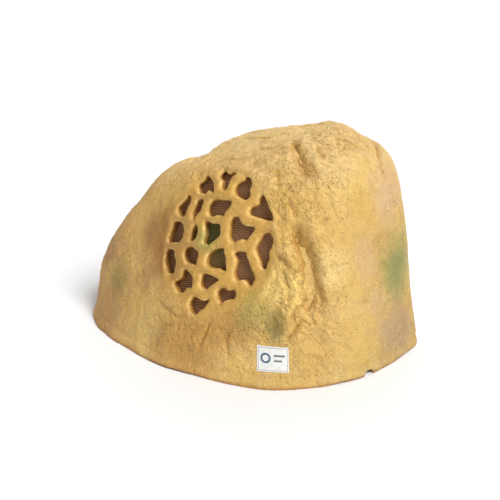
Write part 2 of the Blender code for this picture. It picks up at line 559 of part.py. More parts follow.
# ---------------------------------------------------------------- line transformer
tr = at(*TRANSFORMER)
core = block("transformer_core", (-24, -10, 30.5), (24, 10, 70.5), tr, material("lamination_steel", (0.12, 0.11, 0.1), 0.5, 0.7))
core_windows = join_meshes("core_windows", [extruded(f"core_window_{s}", [(s * 8, 36.5), (s * 18, 36.5), (s * 18, 64.5), (s * 8, 64.5)], -20, 20, tr @ frame_at((0, 0, 0), (1, 0, 0), (0, 0, 1), (0, -1, 0)), None) for s in (-1, 1)])
cut(core, cutter(core_windows), "windows")
bobbin = block("transformer_bobbin", (-17.6, -19, 36.9), (17.6, 19, 64.1), tr, material("winding_tape", (0.55, 0.33, 0.05), 0.5))
cut(bobbin, cutter(block("bobbin_bore", (-8.4, -10.4, 30), (8.4, 10.4, 75), tr, None)), "bore")
bracket_outline = [(-35, 28.6), (35, 28.6), (35, 30.1), (25.9, 30.1), (25.9, 52), (24.4, 52), (24.4, 30.1), (-24.4, 30.1), (-24.4, 52), (-25.9, 52), (-25.9, 30.1), (-35, 30.1)]
bracket = extruded("transformer_bracket", bracket_outline, -9, 9, tr @ frame_at((0, 0, 0), (1, 0, 0), (0, 0, 1), (0, -1, 0)), material("bracket_zinc", (0.5, 0.5, 0.5), 0.4, 1.0))
cut(bracket, drills("bracket_holes", trafo_screw_at, 2.3, 26.0, 31.5, UPRIGHT, 10))
for k, (x, y) in enumerate(trafo_screw_at):
    screw(f"transformer_screw_{k + 1}", at(x, y), 3.6, 30.4, 32.8, 1.9, 24.8)

# ---------------------------------------------------------------- crossover board on two standoffs
bd = at(*BOARD)
board = block("crossover_board", (-35, -24, 38.6), (35, 24, 40.2), bd, material("circuit_board", (0.05, 0.12, 0.05), 0.5))
post_at = [(BOARD[0] - 28, BOARD[1] - 17), (BOARD[0] + 28, BOARD[1] + 17)]
cut(board, drills("board_holes", post_at, 1.7, 36.0, 44.0, UPRIGHT, 10))
standoff_brass = material("standoff_brass", (0.6, 0.42, 0.16), 0.35, 1.0)
for k, (x, y) in enumerate(post_at):
    solid(f"board_standoff_{k + 1}", [(0, 28.6), (3.2, 28.6), (3.2, 38.3), (1.6, 38.3), (1.6, 33), (0, 33)], at(x, y), standoff_brass, segments=12)
    screw(f"board_screw_{k + 1}", at(x, y), 2.9, 40.5, 42.3, 1.3, 34.0)
turned("crossover_inductor", [(6, 40.5), (13, 40.5), (15, 42.5), (15, 50), (13, 52), (6, 52)], bd @ at(-14, 0), material("inductor_copper", (0.62, 0.24, 0.09), 0.35, 1.0), 24)
solid("crossover_capacitor", [(0, -13), (6, -13), (6.6, -12), (6.6, 12), (6, 13), (0, 13)], bd @ frame_at((12, 0, 47.3), (1, 0, 0), (0, 0, 1), (0, -1, 0)), material("capacitor_sleeve", (0.05, 0.09, 0.3), 0.35), segments=20)

# ---------------------------------------------------------------- tap selector, turned from below
sw = at(*TAP_SWITCH)
solid("tap_switch_body", [(0, 42.6), (12, 42.6), (13, 41.6), (13, 28.6), (4.6, 28.6), (4.6, 17.2), (3.1, 17.2), (3.1, 30), (0, 30)], sw, material("switch_phenolic", (0.1, 0.05, 0.03), 0.5), segments=20)
switch_hex = [(8.2 * math.cos(math.radians(a)), 8.2 * math.sin(math.radians(a))) for a in range(0, 360, 60)]
switch_nut = extruded("tap_switch_nut", switch_hex, 21.4, 24.0, sw, material("nut_zinc", (0.5, 0.5, 0.5), 0.35, 1.0))
cut(switch_nut, drills("switch_nut_bore", [TAP_SWITCH], 4.95, 19.0, 26.0, UPRIGHT, 16))
knob = solid(
    "tap_selector_knob", [(0, 28.5), (2.7, 28.5), (2.7, 16.6), (9.2, 16.6), (9.2, 8.5), (8.4, 7.0), (0, 7.0)],
    sw, material("knob_plastic", (0.04, 0.04, 0.045), 0.4), segments=24, origin=(TAP_SWITCH[0], TAP_SWITCH[1], 12.0),
)
cut(knob, cutter(block("pointer_tool", (-0.9, -11, 5.0), (0.9, 0, 8.4), sw, None)), "pointer_slot")

# ---------------------------------------------------------------- internal leads


def lead(name, points, r, mat):
    curve = bpy.data.curves.new(name, "CURVE")
    curve.dimensions, curve.bevel_depth, curve.bevel_resolution, curve.use_fill_caps = "3D", r / 1000, 1, True
    spline = curve.splines.new("POLY")
    smooth_points = [np.array(points[0], float)]
    for a, b, c in zip(points, points[1:], points[2:]):
        a, b, c = (np.array(p, float) for p in (a, b, c))
        smooth_points += [b + (a - b) * 0.25, b + (c - b) * 0.25]
    smooth_points.append(np.array(points[-1], float))
    spline.points.add(len(smooth_points) - 1)
    for sp, p in zip(spline.points, smooth_points):
        sp.co = (*(p / 1000), 1.0)
    obj = bpy.data.objects.new(name, curve)
    curve.materials.append(mat)
    bpy.context.collection.objects.link(obj)
    return obj


strip = place(DRIVER, (-51.6, 0, -31))[0]
lead(
    "driver_lead",
    [strip + np.array([-0.3, 0, 0]), (-24, -42, 104), (-34, -34, 72), (-46, -16, 54), (-50, -5, 48), (-50, -4, 42)],
    1.2, material("lead_red", (0.45, 0.02, 0.015), 0.5),
)
lead(
    "tap_lead",
    [(TRANSFORMER[0] - 19.6, TRANSFORMER[1] + 14, 50), (30, 98, 54), (8, 98, 56), (-12, 86, 52), (-18, 78, 44.2)],
    1.2, material("lead_blue", (0.02, 0.05, 0.35), 0.5),
)

# ---------------------------------------------------------------- plain label on the front right foot
LABEL_HEADING, LABEL_Z = (42.0, 55.0), (19.0, 45.5)
steps_a, steps_z = 6, 3
label_front, label_back = [], []
for i in range(steps_z + 1):
    z = LABEL_Z[0] + (LABEL_Z[1] - LABEL_Z[0]) * i / steps_z
    az = np.radians(np.linspace(LABEL_HEADING[0], LABEL_HEADING[1], steps_a + 1))
    p = on_level(az, z)
    d = (p - CENTRE) / np.linalg.norm(p - CENTRE, axis=1)[:, None]
    label_back += list(p + d * 0.5)
    label_front += list(p + d * 1.2)
w_ = steps_a + 1
half = len(label_back)
label_faces = []
for side in (0, half):
    label_faces += [(side + i * w_ + j, side + i * w_ + j + 1, side + (i + 1) * w_ + j + 1, side + (i + 1) * w_ + j) for i in range(steps_z) for j in range(steps_a)]
border = list(range(0, w_)) + [i * w_ + steps_a for i in range(1, steps_z + 1)] + [steps_z * w_ + j for j in range(steps_a - 1, -1, -1)] + [i * w_ for i in range(steps_z - 1, 0, -1)]
label_faces += [(a, b, half + b, half + a) for a, b in zip(border, border[1:] + border[:1])]
link("label_plate", label_back + label_front, label_faces, material("label_vinyl", (0.8, 0.8, 0.78), 0.4))
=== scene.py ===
"""Rock-shaped outdoor loudspeaker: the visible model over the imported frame. Lengths in this file are millimetres until a mesh is made."""

import json
import math

import bmesh
import bpy
import numpy as np
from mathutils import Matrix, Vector, noise
from mathutils.geometry import delaunay_2d_cdt


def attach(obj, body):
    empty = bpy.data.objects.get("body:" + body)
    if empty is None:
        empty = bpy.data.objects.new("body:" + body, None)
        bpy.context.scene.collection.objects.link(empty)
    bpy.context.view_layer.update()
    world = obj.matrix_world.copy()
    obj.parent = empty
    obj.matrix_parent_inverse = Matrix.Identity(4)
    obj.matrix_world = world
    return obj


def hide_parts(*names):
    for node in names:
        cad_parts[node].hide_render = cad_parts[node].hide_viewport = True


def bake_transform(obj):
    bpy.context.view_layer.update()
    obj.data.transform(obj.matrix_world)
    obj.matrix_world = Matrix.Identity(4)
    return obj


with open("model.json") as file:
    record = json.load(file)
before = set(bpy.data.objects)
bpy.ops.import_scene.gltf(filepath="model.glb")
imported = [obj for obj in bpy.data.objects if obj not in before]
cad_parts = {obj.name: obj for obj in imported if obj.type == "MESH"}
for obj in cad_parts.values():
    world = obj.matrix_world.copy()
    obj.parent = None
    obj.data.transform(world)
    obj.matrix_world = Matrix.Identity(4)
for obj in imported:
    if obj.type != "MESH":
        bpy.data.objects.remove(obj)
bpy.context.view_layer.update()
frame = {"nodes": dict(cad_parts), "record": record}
scene = bpy.context.scene

# ================================================================ camera
CAM_AZ, CAM_EL, CAM_DIST = math.radians(45.0), math.radians(20.0), 1.1
CAM_TARGET = Vector((0.0481, -0.0475, 0.120))
toward = Vector((math.sin(CAM_AZ) * math.cos(CAM_EL), -math.cos(CAM_AZ) * math.cos(CAM_EL), math.sin(CAM_EL)))
cam_data = bpy.data.cameras.new("camera")
cam_data.lens, cam_data.sensor_width = 72.0, 36.0
cam_data.shift_x, cam_data.shift_y = -0.004, -0.010
cam_data.clip_start, cam_data.clip_end = 0.05, 30.0
cam = bpy.data.objects.new("camera", cam_data)
cam.location = CAM_TARGET + toward * CAM_DIST
cam.rotation_euler = toward.to_track_quat("Z", "Y").to_euler()
scene.collection.objects.link(cam)
scene.camera = cam

# ================================================================ the rock's form, as in the CAD
CENTRE = np.array([25.1, -7.5, 95.0])
BLEND = 16.0
FACETS = [
    (-10, 23, 107), (20, 17, 111), (54, 8, 144), (92, 9, 150), (122, 8, 182), (160, 4, 142), (200, 18, 141),
    (245, 25, 127), (280, 22, 195), (312, 2, 202), (332, 14, 172), (285, 37, 156), (325, 69, 124), (20, 56, 149),
    (68, 50, 178), (100, 55, 187), (135, 53, 189), (200, 51, 150), (60, 86, 188),
]
SWELLS = [
    (79, 14, 7, 24, 2.5),
    (64, 12, 6, 22, -3.5),
    (76, 54, 9, 7, -2.5),
    (102, 12, 12, 8, -2.0),
    (-51, 26, 14, 10, -3.5),
    (-48, -26, 16, 7, 2.0),
    (108, -27, 20, 6, 2.0),
    (-64, -11, 10, 9, 4.0),  # left flank
    (-66, 6, 10, 9, 2.2),
    (-84, 50, 13, 7, -7.5),  # dip behind the left shoulder
    (-140, 66, 26, 7, -3.5),  # crown, back left
    (175, 69, 16, 6, -3.5),
    (132, 50, 12, 7, -2.6),
    (124, 28, 10, 9, -1.6),
    (-50, -27, 16, 5, 5.0),  # left foot
    (-34, -30, 9, 4, 3.0),
    (77, -31, 9, 4.5, -2.6),  # right foot
    (113, -27, 8, 5, -2.8),
]
NOTCH_AZ, NOTCH_HALF, NOTCH_HEIGHT = 88.0, 7.0, 5.8
WALL, WEB_DEPTH = 5.0, 10.2

LEAN = math.radians(22.0)
U = np.array([1.0, 0.0, 0.0])
V = np.array([0.0, math.sin(LEAN), math.cos(LEAN)])
W = np.array([0.0, -math.cos(LEAN), math.sin(LEAN)])
WEB_ORIGIN = CENTRE + np.array([16.0, -99.0, 40.5])
WEB_MIDDLE = (0.0, 2.0)
WEB_RADIUS = 86.0
OPENINGS = {
    "upper_left": [(-39, 48), (-34, 49), (-29, 49), (-27, 54), (-22, 53), (-17, 53), (-17, 54), (-19, 57), (-24, 63), (-30, 66), (-39, 69), (-41, 64), (-42, 62), (-48, 55)],
    "top": [(-11, 68), (-9, 63), (-4, 58), (1, 61), (1, 67), (0, 71), (1, 76), (3, 78), (5, 79), (1, 80), (-4, 77), (-10, 77), (-18, 80), (-19, 71)],
    "top_right": [(19, 79), (20, 75), (17, 73), (12, 67), (13, 59), (20, 56), (25, 55), (30, 55), (33, 60), (32, 63), (31, 68), (32, 72), (29, 76), (26, 78)],
    "upper_right": [(44, 60), (45, 56), (44, 53), (38, 49), (37, 42), (44, 41), (51, 41), (59, 41), (64, 43), (63, 46), (62, 49), (58, 52), (55, 57), (52, 61), (47, 66)],
    "left_upper": [(-59, 42), (-60, 38), (-65, 33), (-71, 24), (-61, 17), (-52, 20), (-52, 24), (-51, 29), (-50, 34), (-52, 41)],
    "inner_upper_left": [(-39, 39), (-39, 35), (-41, 27), (-36, 17), (-33, 26), (-29, 31), (-29, 37), (-28, 39), (-33, 43)],
    "inner_upper": [(-16, 42), (-18, 35), (-14, 28), (-6, 29), (-3, 31), (6, 32), (9, 33), (8, 36), (11, 41), (14, 46), (14, 47), (11, 50), (0, 48), (-10, 47)],
    "left": [(-70, 9), (-70, 2), (-71, -4), (-69, -15), (-58, -12), (-51, -11), (-47, -6), (-46, -2), (-47, 2), (-48, 5), (-52, 9), (-59, 11)],
    "inner_left": [(-33, 7), (-33, 2), (-31, -5), (-24, -1), (-23, 3), (-23, 7), (-24, 10), (-30, 15)],
    "middle": [(-12, 11), (-10, 7), (-10, 3), (-10, -2), (-2, -2), (1, 2), (6, 7), (9, 12), (9, 15), (8, 17), (7, 20), (3, 23), (-5, 21), (-16, 21)],
    "inner_right": [(20, 34), (18, 27), (20, 20), (21, 13), (27, 8), (31, 12), (36, 15), (40, 14), (42, 16), (44, 21), (46, 25), (47, 28), (47, 30), (42, 30), (35, 29), (30, 32), (26, 36)],
    "right": [(56, 23), (55, 18), (53, 13), (53, 8), (57, 2), (61, -3), (63, -8), (68, -8), (68, -2), (69, 4), (67, 11), (69, 14), (69, 17), (69, 23), (67, 26), (63, 29), (58, 27)],
    "left_lower": [(-68, -23), (-66, -35), (-59, -42), (-53, -47), (-45, -43), (-45, -39), (-45, -35), (-45, -31), (-49, -28), (-52, -24), (-56, -21)],
    "inner_lower_left": [(-35, -14), (-34, -23), (-25, -28), (-18, -27), (-11, -27), (-12, -23), (-12, -20), (-13, -15), (-14, -13), (-18, -12), (-26, -10)],
    "inner_lower": [(10, -3), (4, -8), (1, -14), (2, -23), (10, -24), (15, -23), (19, -22), (24, -23), (27, -22), (27, -21), (26, -19), (24, -14), (22, -9), (19, -4), (18, 0)],
    "right_lower": [(31, -2), (35, -7), (36, -11), (36, -17), (36, -23), (41, -29), (46, -26), (50, -26), (52, -28), (56, -30), (58, -27), (58, -24), (59, -21), (56, -16), (52, -11), (48, -5), (45, -1), (44, 2), (38, 2)],
    "lower_left": [(-27, -35), (-29, -40), (-28, -45), (-31, -48), (-39, -54), (-32, -59), (-27, -62), (-20, -59), (-18, -54), (-11, -52), (-9, -50), (-10, -45), (-11, -41), (-14, -39), (-20, -37)],
    "lower": [(1, -33), (0, -40), (2, -47), (10, -48), (12, -44), (16, -40), (20, -35), (22, -34), (18, -33), (12, -32), (7, -32)],
    "bottom": [(-4, -60), (-7, -66), (-5, -73), (0, -78), (6, -76), (8, -71), (12, -68), (14, -63), (15, -60), (16, -59), (15, -57), (11, -60), (6, -61), (2, -60)],
    "lower_right": [(23, -46), (25, -53), (29, -58), (33, -53), (38, -50), (42, -48), (43, -45), (43, -42), (43, -41), (39, -39), (34, -42), (28, -40)],
}


def heading(az, el):
    return np.stack([np.sin(az) * np.cos(el), -np.cos(az) * np.cos(el), np.sin(el)], -1)


FACET_N = np.array([heading(math.radians(a), math.radians(e)) for a, e, _ in FACETS])
FACET_D = np.array([float(d) for _, _, d in FACETS])


def angles(d):
    return np.degrees(np.arctan2(d[..., 0], -d[..., 1])), np.degrees(np.arcsin(np.clip(d[..., 2], -1, 1)))


def radius(d):
    """Distance from CENTRE to the plain form along unit vectors d."""
    total = (np.maximum(d @ FACET_N.T, 0.0) / FACET_D) ** BLEND
    r = np.maximum(total.sum(-1), 1e-60) ** (-1.0 / BLEND)
    az, el = angles(d)
    for a, e, wa, we, h in SWELLS:
        da = ((az - a + 180) % 360 - 180) * np.cos(np.radians(el))
        r = r + h * np.exp(-((da / wa) ** 2) - ((el - e) / we) ** 2)
    return r


def on_form(az, el):
    d = heading(az, el)
    return CENTRE + d * radius(d)[..., None]


def form_normal(az, el):
    """Outward normals of the form."""
    h = 0.006
    e0, e1 = np.minimum(el - h, 1.5), np.minimum(el + h, 1.565)
    a = on_form(az + h / np.maximum(np.cos(el), 0.08), el) - on_form(az - h / np.maximum(np.cos(el), 0.08), el)
    b = on_form(az, e1) - on_form(az, e0)
    n = np.cross(a, b)
    n /= np.maximum(np.linalg.norm(n, axis=-1, keepdims=True), 1e-9)
    out = heading(az, el)
    flip = (n * out).sum(-1) < 0
    n[flip] *= -1
    return n


def smooth_step(x, low, high):
    t = np.clip((x - low) / (high - low), 0, 1)
    return t * t * (3 - 2 * t)


def rim_height(az_deg):
    """Height of the bottom rim: zero but for the arch of the cable notch."""
    off = np.abs((az_deg - NOTCH_AZ + 180) % 360 - 180) * math.pi / 180 * 162.0
    return NOTCH_HEIGHT * (1 - smooth_step(off, NOTCH_HALF - 2.6, NOTCH_HALF)) ** 0.6


# ================================================================ laying points over the form
N_AZ, N_K = 1080, 220
az_table = np.linspace(0, 2 * math.pi, N_AZ, endpoint=False)
low, high = np.full(N_AZ, -1.45), np.full(N_AZ, 0.6)
rim_z = rim_height(np.degrees(az_table))
for _ in range(36):
    mid = (low + high) / 2
    above = on_form(az_table, mid)[:, 2] > rim_z
    high, low = np.where(above, mid, high), np.where(above, low, mid)
el_rim = (low + high) / 2
k_table = np.linspace(0, 1, N_K)
el_table = el_rim[:, None] + (math.pi / 2 - el_rim[:, None]) * k_table[None]
form = on_form(np.repeat(az_table[:, None], N_K, 1), el_table)
run = np.concatenate([np.zeros((N_AZ, 1)), np.cumsum(np.linalg.norm(np.diff(form, axis=1), axis=2), axis=1)], 1)
mean_run = run[:, -1].mean()
run /= run[:, -1:]


def wrap_lookup(table_2d, az, frac_index):
    """Bilinear look-up in a table over (az, index)."""
    a = (az % (2 * math.pi)) / (2 * math.pi) * N_AZ
    i = np.floor(a).astype(int) % N_AZ
    t = a - np.floor(a)
    j = np.clip(np.floor(frac_index).astype(int), 0, table_2d.shape[1] - 2)
    s = frac_index - j
    n = (i + 1) % N_AZ
    return (table_2d[i, j] * (1 - s) + table_2d[i, j + 1] * s) * (1 - t) + (table_2d[n, j] * (1 - s) + table_2d[n, j + 1] * s) * t


def rim_el(az):
    a = (az % (2 * math.pi)) / (2 * math.pi) * N_AZ
    i = np.floor(a).astype(int) % N_AZ
    t = a - np.floor(a)
    return el_rim[i] * (1 - t) + el_rim[(i + 1) % N_AZ] * t


def climb(az, el):
    """How far up its meridian a point is, 0 at the rim and 1 at the top."""
    e0 = rim_el(az)
    k = np.clip((el - e0) / (math.pi / 2 - e0), 0, 1) * (N_K - 1)
    return wrap_lookup(run, az, k)


def rows_over_form(fractions, spacing):
    """(az, el, f, row number) of staggered rings of points at those fractions of the climb."""
    az_out, el_out, f_out, row_out = [], [], [], []
    for i, f in enumerate(fractions):
        el = np.array([np.interp(f, run[a], el_table[a]) for a in range(0, N_AZ, 3)])
        az = az_table[::3]
        p = on_form(az, el)
        step = np.linalg.norm(np.roll(p, -1, 0) - p, axis=1)
        total = step.sum()
        n = max(6, int(round(total / spacing[i])))
        at = (np.arange(n) + (0.5 if i % 2 else 0.0)) / n * total
        cum = np.concatenate([[0], np.cumsum(step)])
        a = np.interp(at, cum, np.concatenate([az, [2 * math.pi]]))
        e = np.interp(a, np.concatenate([az, [2 * math.pi]]), np.concatenate([el, el[:1]]))
        if i == 0:
            e = rim_el(a)
        az_out.append(a)
        el_out.append(e)
        f_out.append(np.full(n, f))
        row_out.append(np.full(n, i))
    return tuple(np.concatenate(x) for x in (az_out, el_out, f_out, row_out))


def flat_chart(az, f):
    rho = 1.0 - 0.9995 * f
    return np.stack([rho * np.cos(az), rho * np.sin(az)], -1)


def to_web(p):
    q = p - WEB_ORIGIN
    return q @ U, q @ V


def onto_form(u, v):
    """(az, el, point) where lines along W through (u, v) meet the form."""
    base = WEB_ORIGIN + u[:, None] * U + v[:, None] * V
    low, high = np.full(len(u), -95.0), np.full(len(u), 25.0)
    for _ in range(34):
        mid = (low + high) / 2
        q = base + mid[:, None] * W - CENTRE
        r = np.linalg.norm(q, axis=1)
        inside = r < radius(q / r[:, None])
        low, high = np.where(inside, mid, low), np.where(inside, high, mid)
    p = base + ((low + high) / 2)[:, None] * W
    d = (p - CENTRE) / np.linalg.norm(p - CENTRE, axis=1)[:, None]
    az, el = angles(d)
    return np.radians(az) % (2 * math.pi), np.radians(el), p


def loop_curve(points, spacing):
    """A smooth closed curve through the corners, as evenly spaced points."""
    p = np.array(points, float)
    n = len(p)
    out = []
    for i in range(n):
        a, b, c, d = p[i - 1], p[i], p[(i + 1) % n], p[(i + 2) % n]
        for t in np.linspace(0, 1, 12, endpoint=False):
            out.append(0.5 * ((2 * b) + (c - a) * t + (2 * a - 5 * b + 4 * c - d) * t * t + (3 * b - a - 3 * c + d) * t**3))
    out = np.array(out)
    for _ in range(3):
        out = (np.roll(out, 1, 0) + 2 * out + np.roll(out, -1, 0)) / 4
    step = np.linalg.norm(np.roll(out, -1, 0) - out, axis=1)
    cum = np.concatenate([[0], np.cumsum(step)])
    n = max(16, int(round(cum[-1] / spacing)))
    at = np.arange(n) / n * cum[-1]
    closed = np.concatenate([out, out[:1]])
    out = np.stack([np.interp(at, cum, closed[:, 0]), np.interp(at, cum, closed[:, 1])], -1)
    for _ in range(2):
        out = (np.roll(out, 1, 0) + 2 * out + np.roll(out, -1, 0)) / 4
    area = 0.5 * (out[:, 0] * np.roll(out[:, 1], -1) - np.roll(out[:, 0], -1) * out[:, 1]).sum()
    return out if area > 0 else out[::-1].copy()


def loop_offset(loop, by):
    """The loop moved outward by a distance in mm."""
    t = np.roll(loop, -1, 0) - np.roll(loop, 1, 0)
    t = np.roll(t, 1, 0) + 2 * t + np.roll(t, -1, 0)
    t /= np.linalg.norm(t, axis=1)[:, None]
    return loop + np.stack([t[:, 1], -t[:, 0]], -1) * by


LOOPS = [loop_curve(p, 1.25) for p in OPENINGS.values()]
ALL_A = np.concatenate(LOOPS)
ALL_B = np.concatenate([np.roll(l, -1, 0) for l in LOOPS])


def rib_distance(uv):
    """Distance in mm on the web plane from each point to the nearest opening edge."""
    out = np.full(len(uv), 1e9)
    ab = ALL_B - ALL_A
    length2 = (ab**2).sum(1)
    for start in range(0, len(uv), 2000):
        q = uv[start : start + 2000]
        t = np.clip(((q[:, None] - ALL_A[None]) * ab[None]).sum(-1) / length2, 0, 1)
        near = ALL_A[None] + t[..., None] * ab[None]
        out[start : start + 2000] = np.sqrt(((q[:, None] - near) ** 2).sum(-1)).min(1)
    return out


def inside_loops(uv, grow=0.0):
    hit = np.zeros(len(uv), bool)
    for loop in LOOPS:
        l = loop_offset(loop, grow) if grow else loop
        x, y = uv[:, 0], uv[:, 1]
        inside = np.zeros(len(uv), bool)
        for (x0, y0), (x1, y1) in zip(l, np.roll(l, -1, 0)):
            cross = (y0 > y) != (y1 > y)
            if y1 != y0:
                inside ^= cross & (x < (x1 - x0) * (y - y0) / (y1 - y0) + x0)
        hit |= inside
    return hit

# ================================================================ relief
# Each crease: points (heading, tilt) along it, half width, depth, then any shoulders as (offset to its right, half width, height), in mm
CREASES = [
    ("main_fold", [(56, 36), (59, 30), (61, 24), (63, 18), (64, 12), (64.5, 6), (64, 0), (62.5, -5), (60, -9)], [9, 9, 8, 7, 5.6, 4.2, 2.8], [1.2, 3.4, 5.2, 6.8, 8.0, 6.6, 1.5], [(19.0, 8.0, 4.0), (-14.0, 8.0, 3.0)], 1.45),
    ("second_fold", [(68, 7), (69, 1), (68.5, -5)], 2.4, 2.4, [(4.5, 2.5, 1.0)]),
    ("fold_foot", [(62, -7), (59, -11), (57, -14), (53, -17)], 2.0, 2.8, [(4.0, 3.0, 0.8)]),
    ("fold_branch", [(65, -3), (61.5, -3), (58, -5), (56, -9)], 2.0, 2.2, [(3.5, 3.0, 0.8)]),
    ("fold_branch_2", [(61, 9), (57, 12), (54, 17), (50, 20)], [4, 4, 3, 2], 2.6, [(-5.0, 4.0, 1.0)]),
    ("cheek_line", [(53, 14), (55, 8), (56, 2), (55, -6)], 1.9, 1.8, [(4.0, 3.0, 0.8)]),
    ("cheek_line_2", [(50, 17), (51, 10), (50, 3), (47, -4)], 1.8, 1.3, [(3.5, 3.0, 0.6)]),
    ("cheek_line_3", [(50, 10), (48, 2), (45, -4)], 1.6, 1.3, []),
    ("fold_top", [(52, 36), (54, 29), (54, 21)], [3, 4, 3], 1.8, [(-5.0, 4.0, 1.0)]),
    ("upper_run", [(57, 42), (60, 37), (62, 33)], 2.8, 1.8, []),
    ("upper_run_2", [(50, 41), (54, 35), (57, 28)], 2.0, 1.2, [(3.5, 3.0, 0.6)]),
    ("top_gouge", [(88, 74), (79, 68), (73, 62), (70, 56), (70, 50), (72, 42)], [3.0, 4.0, 5.4, 6.4, 6.6, 5.0], [3.0, 4.8, 5.0, 4.8, 4.0, 1.5], [(11.0, 6.0, 1.8), (-9.0, 5.0, 1.4)], 1.35),
    ("gouge_lip", [(80, 71), (74, 64), (71, 59)], 2.1, 2.1, []),
    ("gouge_foot", [(73, 55), (74, 50), (73, 45)], 2.1, 1.9, []),
    ("gouge_side", [(87, 61), (84, 57), (82, 52)], 2.4, 2.3, []),
    ("dent_edge", [(26, 68), (36, 64), (45, 58), (52, 53), (55, 47)], [4, 7, 8, 7, 5], 2.2, [(-11.0, 5.0, 0.8)]),
    ("dent_line", [(52, 56), (54, 51), (55, 46)], 2.1, 2.0, []),
    ("brow_line", [(-94, 63), (-103, 70), (-105, 81), (118, 86), (122, 82), (120, 77)], 2.1, 2.9, [(-4.0, 3.0, 0.9)]),
    ("brow_specks", [(31, 80), (44, 78)], 2.1, 2.1, []),
    ("brow_specks_2", [(48, 76), (57, 73)], 2.1, 2.1, []),
    ("brow_specks_3", [(62, 70), (69, 66)], 2.1, 2.1, []),
    ("brow_line_2", [(-41, 53), (-47, 59), (-53, 65)], 2.1, 2.5, [(-4.0, 3.0, 0.6)]),
    ("brow_line_3", [(150, 76), (140, 71), (130, 65)], 2.2, 2.5, [(4.0, 3.0, 0.8)]),
    ("brow_line_4", [(-30, 62), (-22, 68), (-8, 70), (10, 69)], 2.1, 1.9, []),
    ("crown_crack", [(98, 60), (104, 56), (107, 51), (112, 47)], 2.1, 2.1, [(3.0, 3.0, 0.6)]),
    ("crown_crack_2", [(90, 52), (97, 53), (104, 50)], 1.9, 1.5, []),
    ("crown_step", [(136, 50), (126, 46), (117, 44), (113, 40), (111, 30)], [2.6, 2.6, 2.8, 3.2, 4.0], [3.2, 3.2, 2.4, 1.4, 0.4], [(7.0, 5.0, 0.8)]),
    ("lower_crack", [(19, -15), (17, -20), (14, -27)], 2.0, 2.1, [(3.0, 3.0, 0.5)]),
    ("lower_crack_2", [(30, -16), (28, -21), (29, -27)], 2.0, 1.7, []),
    ("left_crack", [(-24, -13), (-12, -15), (0, -17), (8, -15)], 1.8, 1.6, []),
    ("left_crack_2", [(-16, -18), (-8, -21), (0, -20)], 1.4, 1.1, []),
    ("left_dip", [(-22, 42), (-32, 34), (-40, 26), (-44, 16)], 9.0, 1.6, []),
    ("left_line", [(-30, 22), (-34, 10), (-32, -2)], 3.0, 0.9, []),
    ("left_line_2", [(-28, 50), (-34, 46), (-40, 38)], 1.6, 1.2, []),
    ("right_line", [(86, -6), (95, 0), (106, 7)], 3.0, 0.5, []),
    ("right_line_2", [(88, 14), (98, 16), (110, 20)], 3.4, 0.5, []),
    ("grille_brow", [(-30, 40), (-12, 51), (10, 55), (30, 50)], 3.5, 0.9, []),
    ("back_fold", [(170, 45), (179, 30), (176, 14), (184, -2), (180, -18)], [6, 9, 11, 9, 6], [0.8, 3.2, 4.6, 3.6, 0.8], [(17.0, 9.0, 2.6), (-13.0, 8.0, 1.8)], 1.4),
    ("back_fold_2", [(226, 47), (238, 32), (235, 18), (247, 1)], [6, 10, 10, 6], [0.8, 3.2, 3.2, 0.8], [(15.0, 9.0, 2.2)], 1.4),
    ("back_line", [(138, 36), (148, 20), (145, 4), (152, -12)], [3, 5, 5, 3], [0.8, 2.2, 2.2, 0.6], [(8.0, 5.0, 1.2)]),
    ("left_fold", [(268, 36), (280, 22), (278, 8), (288, -8)], [4, 7, 7, 4], [0.8, 2.6, 2.6, 0.6], [(-10.0, 7.0, 1.4)]),
    ("back_ledge", [(200, 52), (225, 56), (250, 50)], 3.0, 2.0, [(5.0, 4.0, 1.0)]),
    ("back_crack", [(160, 8), (168, -4), (164, -18)], 1.6, 1.6, []),
    ("back_crack_2", [(210, 6), (216, -8), (212, -22)], 1.6, 1.6, []),
    ("back_crack_3", [(192, 30), (198, 16), (206, 8)], 1.6, 1.5, []),
]
# Corrections of the outer face alone, near the rim
FOOT = [
    (6, -33, 17, 5.0, -2.4),
    (-46, -28, 14, 4.0, 1.2),
]
RIM_LIFT = [(2, 15, 1.9), (76, 8, 1.6), (112, 7, 1.2), (200, 20, 1.0)]


def bell(az, el, table):
    total = np.zeros(np.shape(az))
    for a, e, wa, we, mm in table:
        da = ((az - a + 180) % 360 - 180) * np.cos(np.radians(e))
        total += mm * np.exp(-((da / wa) ** 2) - ((el - e) / we) ** 2)
    return total


def rim_lift(az):
    total = np.zeros(np.shape(az))
    for a, w, mm in RIM_LIFT:
        total += mm * np.exp(-((((az - a + 180) % 360 - 180) / w) ** 2))
    return total


def fractal(p, scale, octaves=3, seed=0.0, stretch=(1, 1, 1)):
    """Smooth noise in -1..1 at points in mm, for features about scale mm across."""
    q = p * np.array(stretch) / scale + seed
    return np.array([noise.fractal(Vector(x), 0.9, 2.1, octaves, noise_basis="PERLIN_ORIGINAL") for x in q.tolist()])


def ridged(p, scale, seed=0.0, stretch=(1, 1, 1)):
    """0..1, highest along thin wandering lines."""
    q = p * np.array(stretch) / scale + seed
    return 1 - np.abs(np.array([noise.noise(Vector(x), noise_basis="PERLIN_ORIGINAL") for x in q.tolist()])) * 2.0


